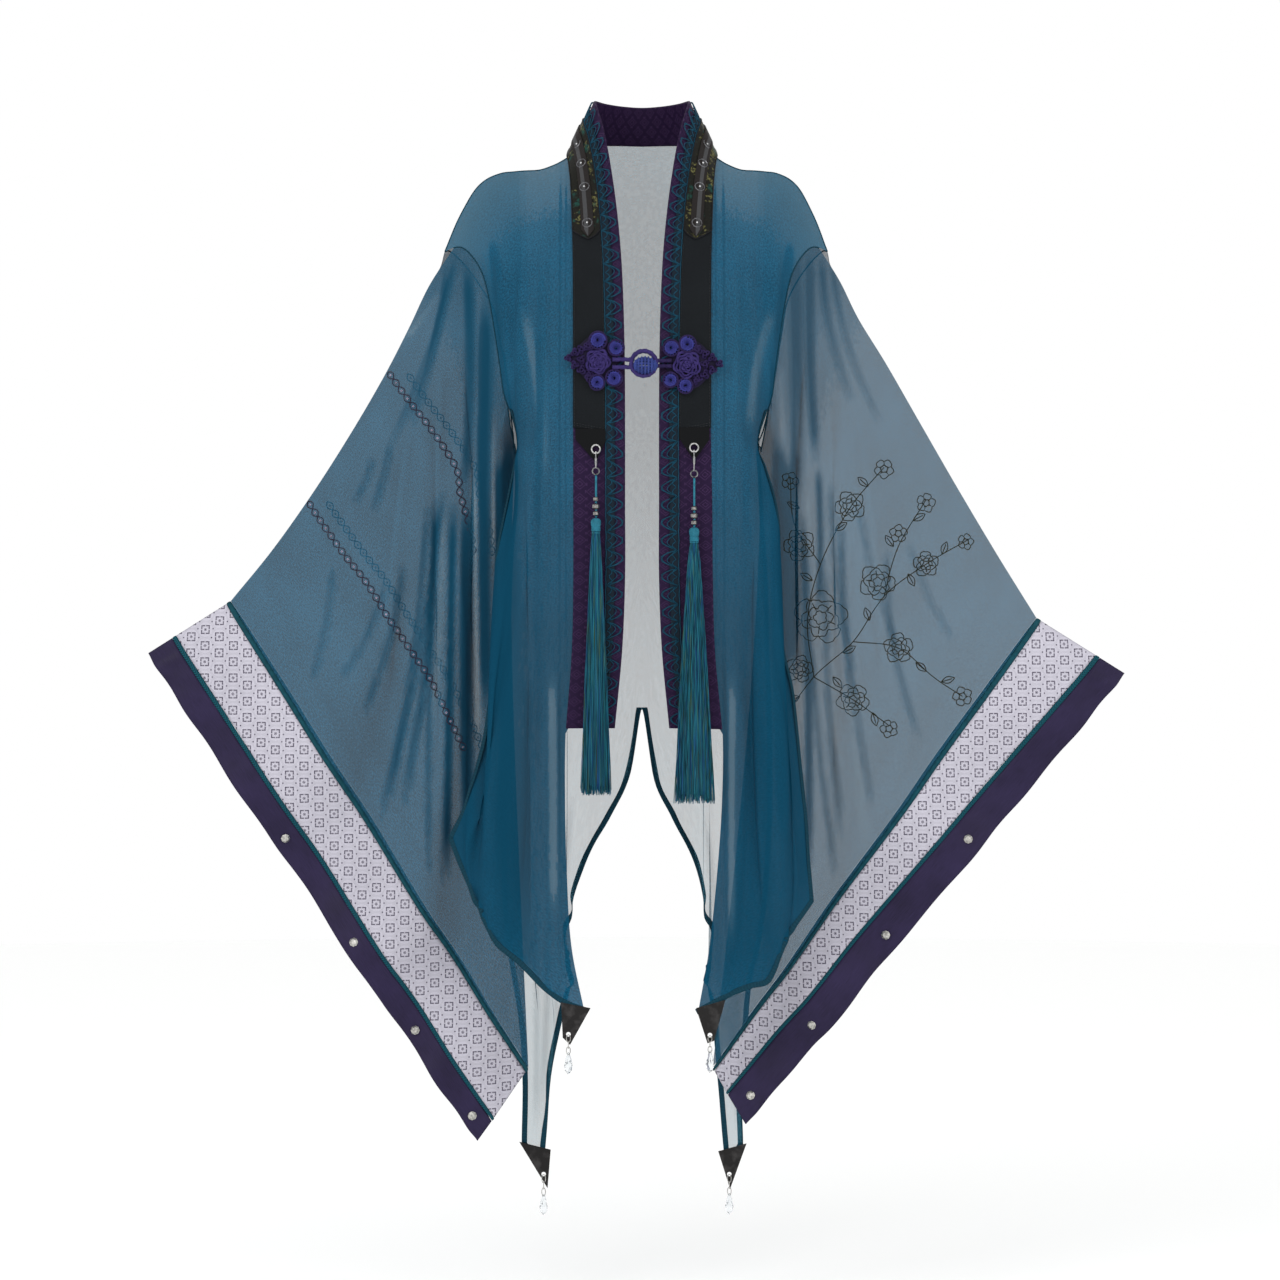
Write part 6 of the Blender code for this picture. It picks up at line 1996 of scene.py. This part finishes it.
class HAORI_OT_drops(Operator):
    """Hang the crystal drops from the hem tabs by small links"""

    bl_idname = "haori.drops"
    bl_label = "Drops"

    def execute(self, context):
        crystal = make_crystal()
        silver = metal("link_silver", (0.50, 0.49, 0.47), 0.3)
        for corner in CORNERS:
            node, body = f"charm_{corner}", f"drop_{corner}"
            low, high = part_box(node)
            x, y, bottom, top = middle_line(node)
            drop, links = bmesh.new(), bmesh.new()
            neck = bottom + DROP_LENGTH
            crystal_drop(drop, x, y, neck, bottom + 0.3 * MM, (high[0] - low[0]) * 0.98)
            finish_piece(close_up(drop), f"crystal_{corner}", crystal, body, (node,))
            span = (top - neck + 1.5 * MM) / LINK_COUNT
            for index in range(LINK_COUNT):
                centre = (x, y, top - span * (index + 0.5))
                path = link_path(centre, 2.4 * MM, span * 0.62, index % 2)
                add_tube(links, path, 0.55 * MM, 6, closed=True)
            finish_piece(close_up(links), f"links_{corner}", silver, body)
        return {"FINISHED"}


def paint_node(node, material):
    """Gives a solid that stays visible its finish."""
    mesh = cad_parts[node].data
    mesh.materials.clear()
    mesh.materials.append(material)


class HAORI_OT_fittings(Operator):
    """Finish the studs, rings, eyelets, clasps, beads and tabs"""

    bl_idname = "haori.fittings"
    bl_label = "Fittings"

    def execute(self, context):
        finishes = {
            "cuff_stud": metal("stud_silver", (0.50, 0.49, 0.46), 0.35),
            "collar_ring": metal("dark_steel", (0.16, 0.16, 0.17), 0.3),
            "collar_eyelet": metal("eyelet_silver", (0.62, 0.62, 0.61), 0.25),
            "tassel_clasp": metal("clasp_silver", (0.40, 0.40, 0.40), 0.3),
            "tassel_beads": metal("bead_silver", (0.30, 0.29, 0.28), 0.35),
            "hem_tab": leather(),
            "point_tab": twill("tab_twill", (0.0075, 0.0080, 0.0090)),
        }
        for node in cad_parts:
            for start, material in finishes.items():
                if node.startswith(start):
                    paint_node(node, material)
        return {"FINISHED"}


# Stage


FLOOR_RADIUS = 6.0
CAMERA_X = -0.0025
CAMERA_LENS, CAMERA_SENSOR = 108, 36

# A soft round light: where it is and points, its watts and its size
Light = namedtuple("Light", "name place target power size")
LIGHTS = (
    Light("key", (-2.2, -3.0, 1.6), (0, 0, -0.5), 40, 2.2),
    Light("fill", (2.6, -2.4, 0.8), (0, 0, -0.6), 18, 2.4),
)


class StageSettings(PropertyGroup):
    """The studio round the robe."""

    floor_drop: FloatProperty(
        name="Floor", description="How far the floor lies below the origin", default=1.43, unit="LENGTH"
    )
    camera_distance: FloatProperty(
        name="Camera", description="How far the camera stands in front", default=4.8, unit="LENGTH"
    )
    camera_height: FloatProperty(
        name="Height", description="The camera's height above the origin", default=-0.594, unit="LENGTH"
    )


def make_floor(settings):
    bm = bmesh.new()
    bmesh.ops.create_circle(bm, cap_ends=True, segments=96, radius=FLOOR_RADIUS)
    for vertex in bm.verts:
        vertex.co.z = -settings.floor_drop
    mesh = bpy.data.meshes.new("floor")
    bm.to_mesh(mesh)
    bm.free()
    floor = bpy.data.objects.new("floor", mesh)
    bpy.context.scene.collection.objects.link(floor)
    paint = Paint("studio_floor", {"Base Color": (0.97, 0.975, 0.97), "Roughness": 0.9})
    mesh.materials.append(paint.material)


def make_light(row):
    data = bpy.data.lights.new(row.name, "AREA")
    data.energy = row.power
    data.shape = "DISK"
    data.size = row.size
    light = bpy.data.objects.new(row.name, data)
    light.location = row.place
    light.rotation_euler = (Vector(row.target) - Vector(row.place)).to_track_quat("-Z", "Y").to_euler()
    bpy.context.scene.collection.objects.link(light)


def make_camera(settings):
    data = bpy.data.cameras.new("camera")
    data.sensor_width = CAMERA_SENSOR
    data.lens = CAMERA_LENS
    camera = bpy.data.objects.new("camera", data)
    camera.location = (CAMERA_X, -settings.camera_distance, settings.camera_height)
    camera.rotation_euler = (math.pi / 2, 0, 0)
    bpy.context.scene.collection.objects.link(camera)
    bpy.context.scene.camera = camera


def make_world():
    world = bpy.data.worlds.new("studio")
    world.use_nodes = True
    background = world.node_tree.nodes["Background"]
    background.inputs["Color"].default_value = (1.0, 1.0, 1.0, 1.0)
    background.inputs["Strength"].default_value = 1.0
    bpy.context.scene.world = world


class HAORI_OT_stage(Operator):
    """Set the pale floor, the soft lights and the camera"""

    bl_idname = "haori.stage"
    bl_label = "Stage"

    def execute(self, context):
        settings = context.scene.haori_stage
        make_floor(settings)
        make_world()
        for row in LIGHTS:
            make_light(row)
        make_camera(settings)
        context.scene.view_settings.view_transform = "Standard"
        return {"FINISHED"}


# The panel, and the run from start to end


OPERATORS = (
    HAORI_OT_stage,
    HAORI_OT_fronts,
    HAORI_OT_back,
    HAORI_OT_sleeves,
    HAORI_OT_hems,
    HAORI_OT_motifs,
    HAORI_OT_cuffs,
    HAORI_OT_collar,
    HAORI_OT_frog,
    HAORI_OT_tassels,
    HAORI_OT_drops,
    HAORI_OT_fittings,
)


class HAORI_PT_panel(Panel):
    """Lists the pieces of the haori"""

    bl_label = "Haori"
    bl_idname = "HAORI_PT_panel"
    bl_space_type = "VIEW_3D"
    bl_region_type = "UI"
    bl_category = "Haori"

    def draw(self, context):
        for operator in OPERATORS:
            self.layout.operator(operator.bl_idname)
        for group in (context.scene.haori_cloth, context.scene.haori_trim, context.scene.haori_stage):
            for name in group.bl_rna.properties.keys():
                if name not in {"rna_type", "name"}:
                    self.layout.prop(group, name)


CLASSES = (ClothSettings, TrimSettings, StageSettings, *OPERATORS, HAORI_PT_panel)


def register():
    for cls in CLASSES:
        bpy.utils.register_class(cls)
    bpy.types.Scene.haori_cloth = PointerProperty(type=ClothSettings)
    bpy.types.Scene.haori_trim = PointerProperty(type=TrimSettings)
    bpy.types.Scene.haori_stage = PointerProperty(type=StageSettings)


def unregister():
    del bpy.types.Scene.haori_stage
    del bpy.types.Scene.haori_trim
    del bpy.types.Scene.haori_cloth
    for cls in reversed(CLASSES):
        bpy.utils.unregister_class(cls)


def main():
    register()
    for operator in OPERATORS:
        group, name = operator.bl_idname.split(".")
        getattr(getattr(bpy.ops, group), name)()


if __name__ == "__main__":
    main()
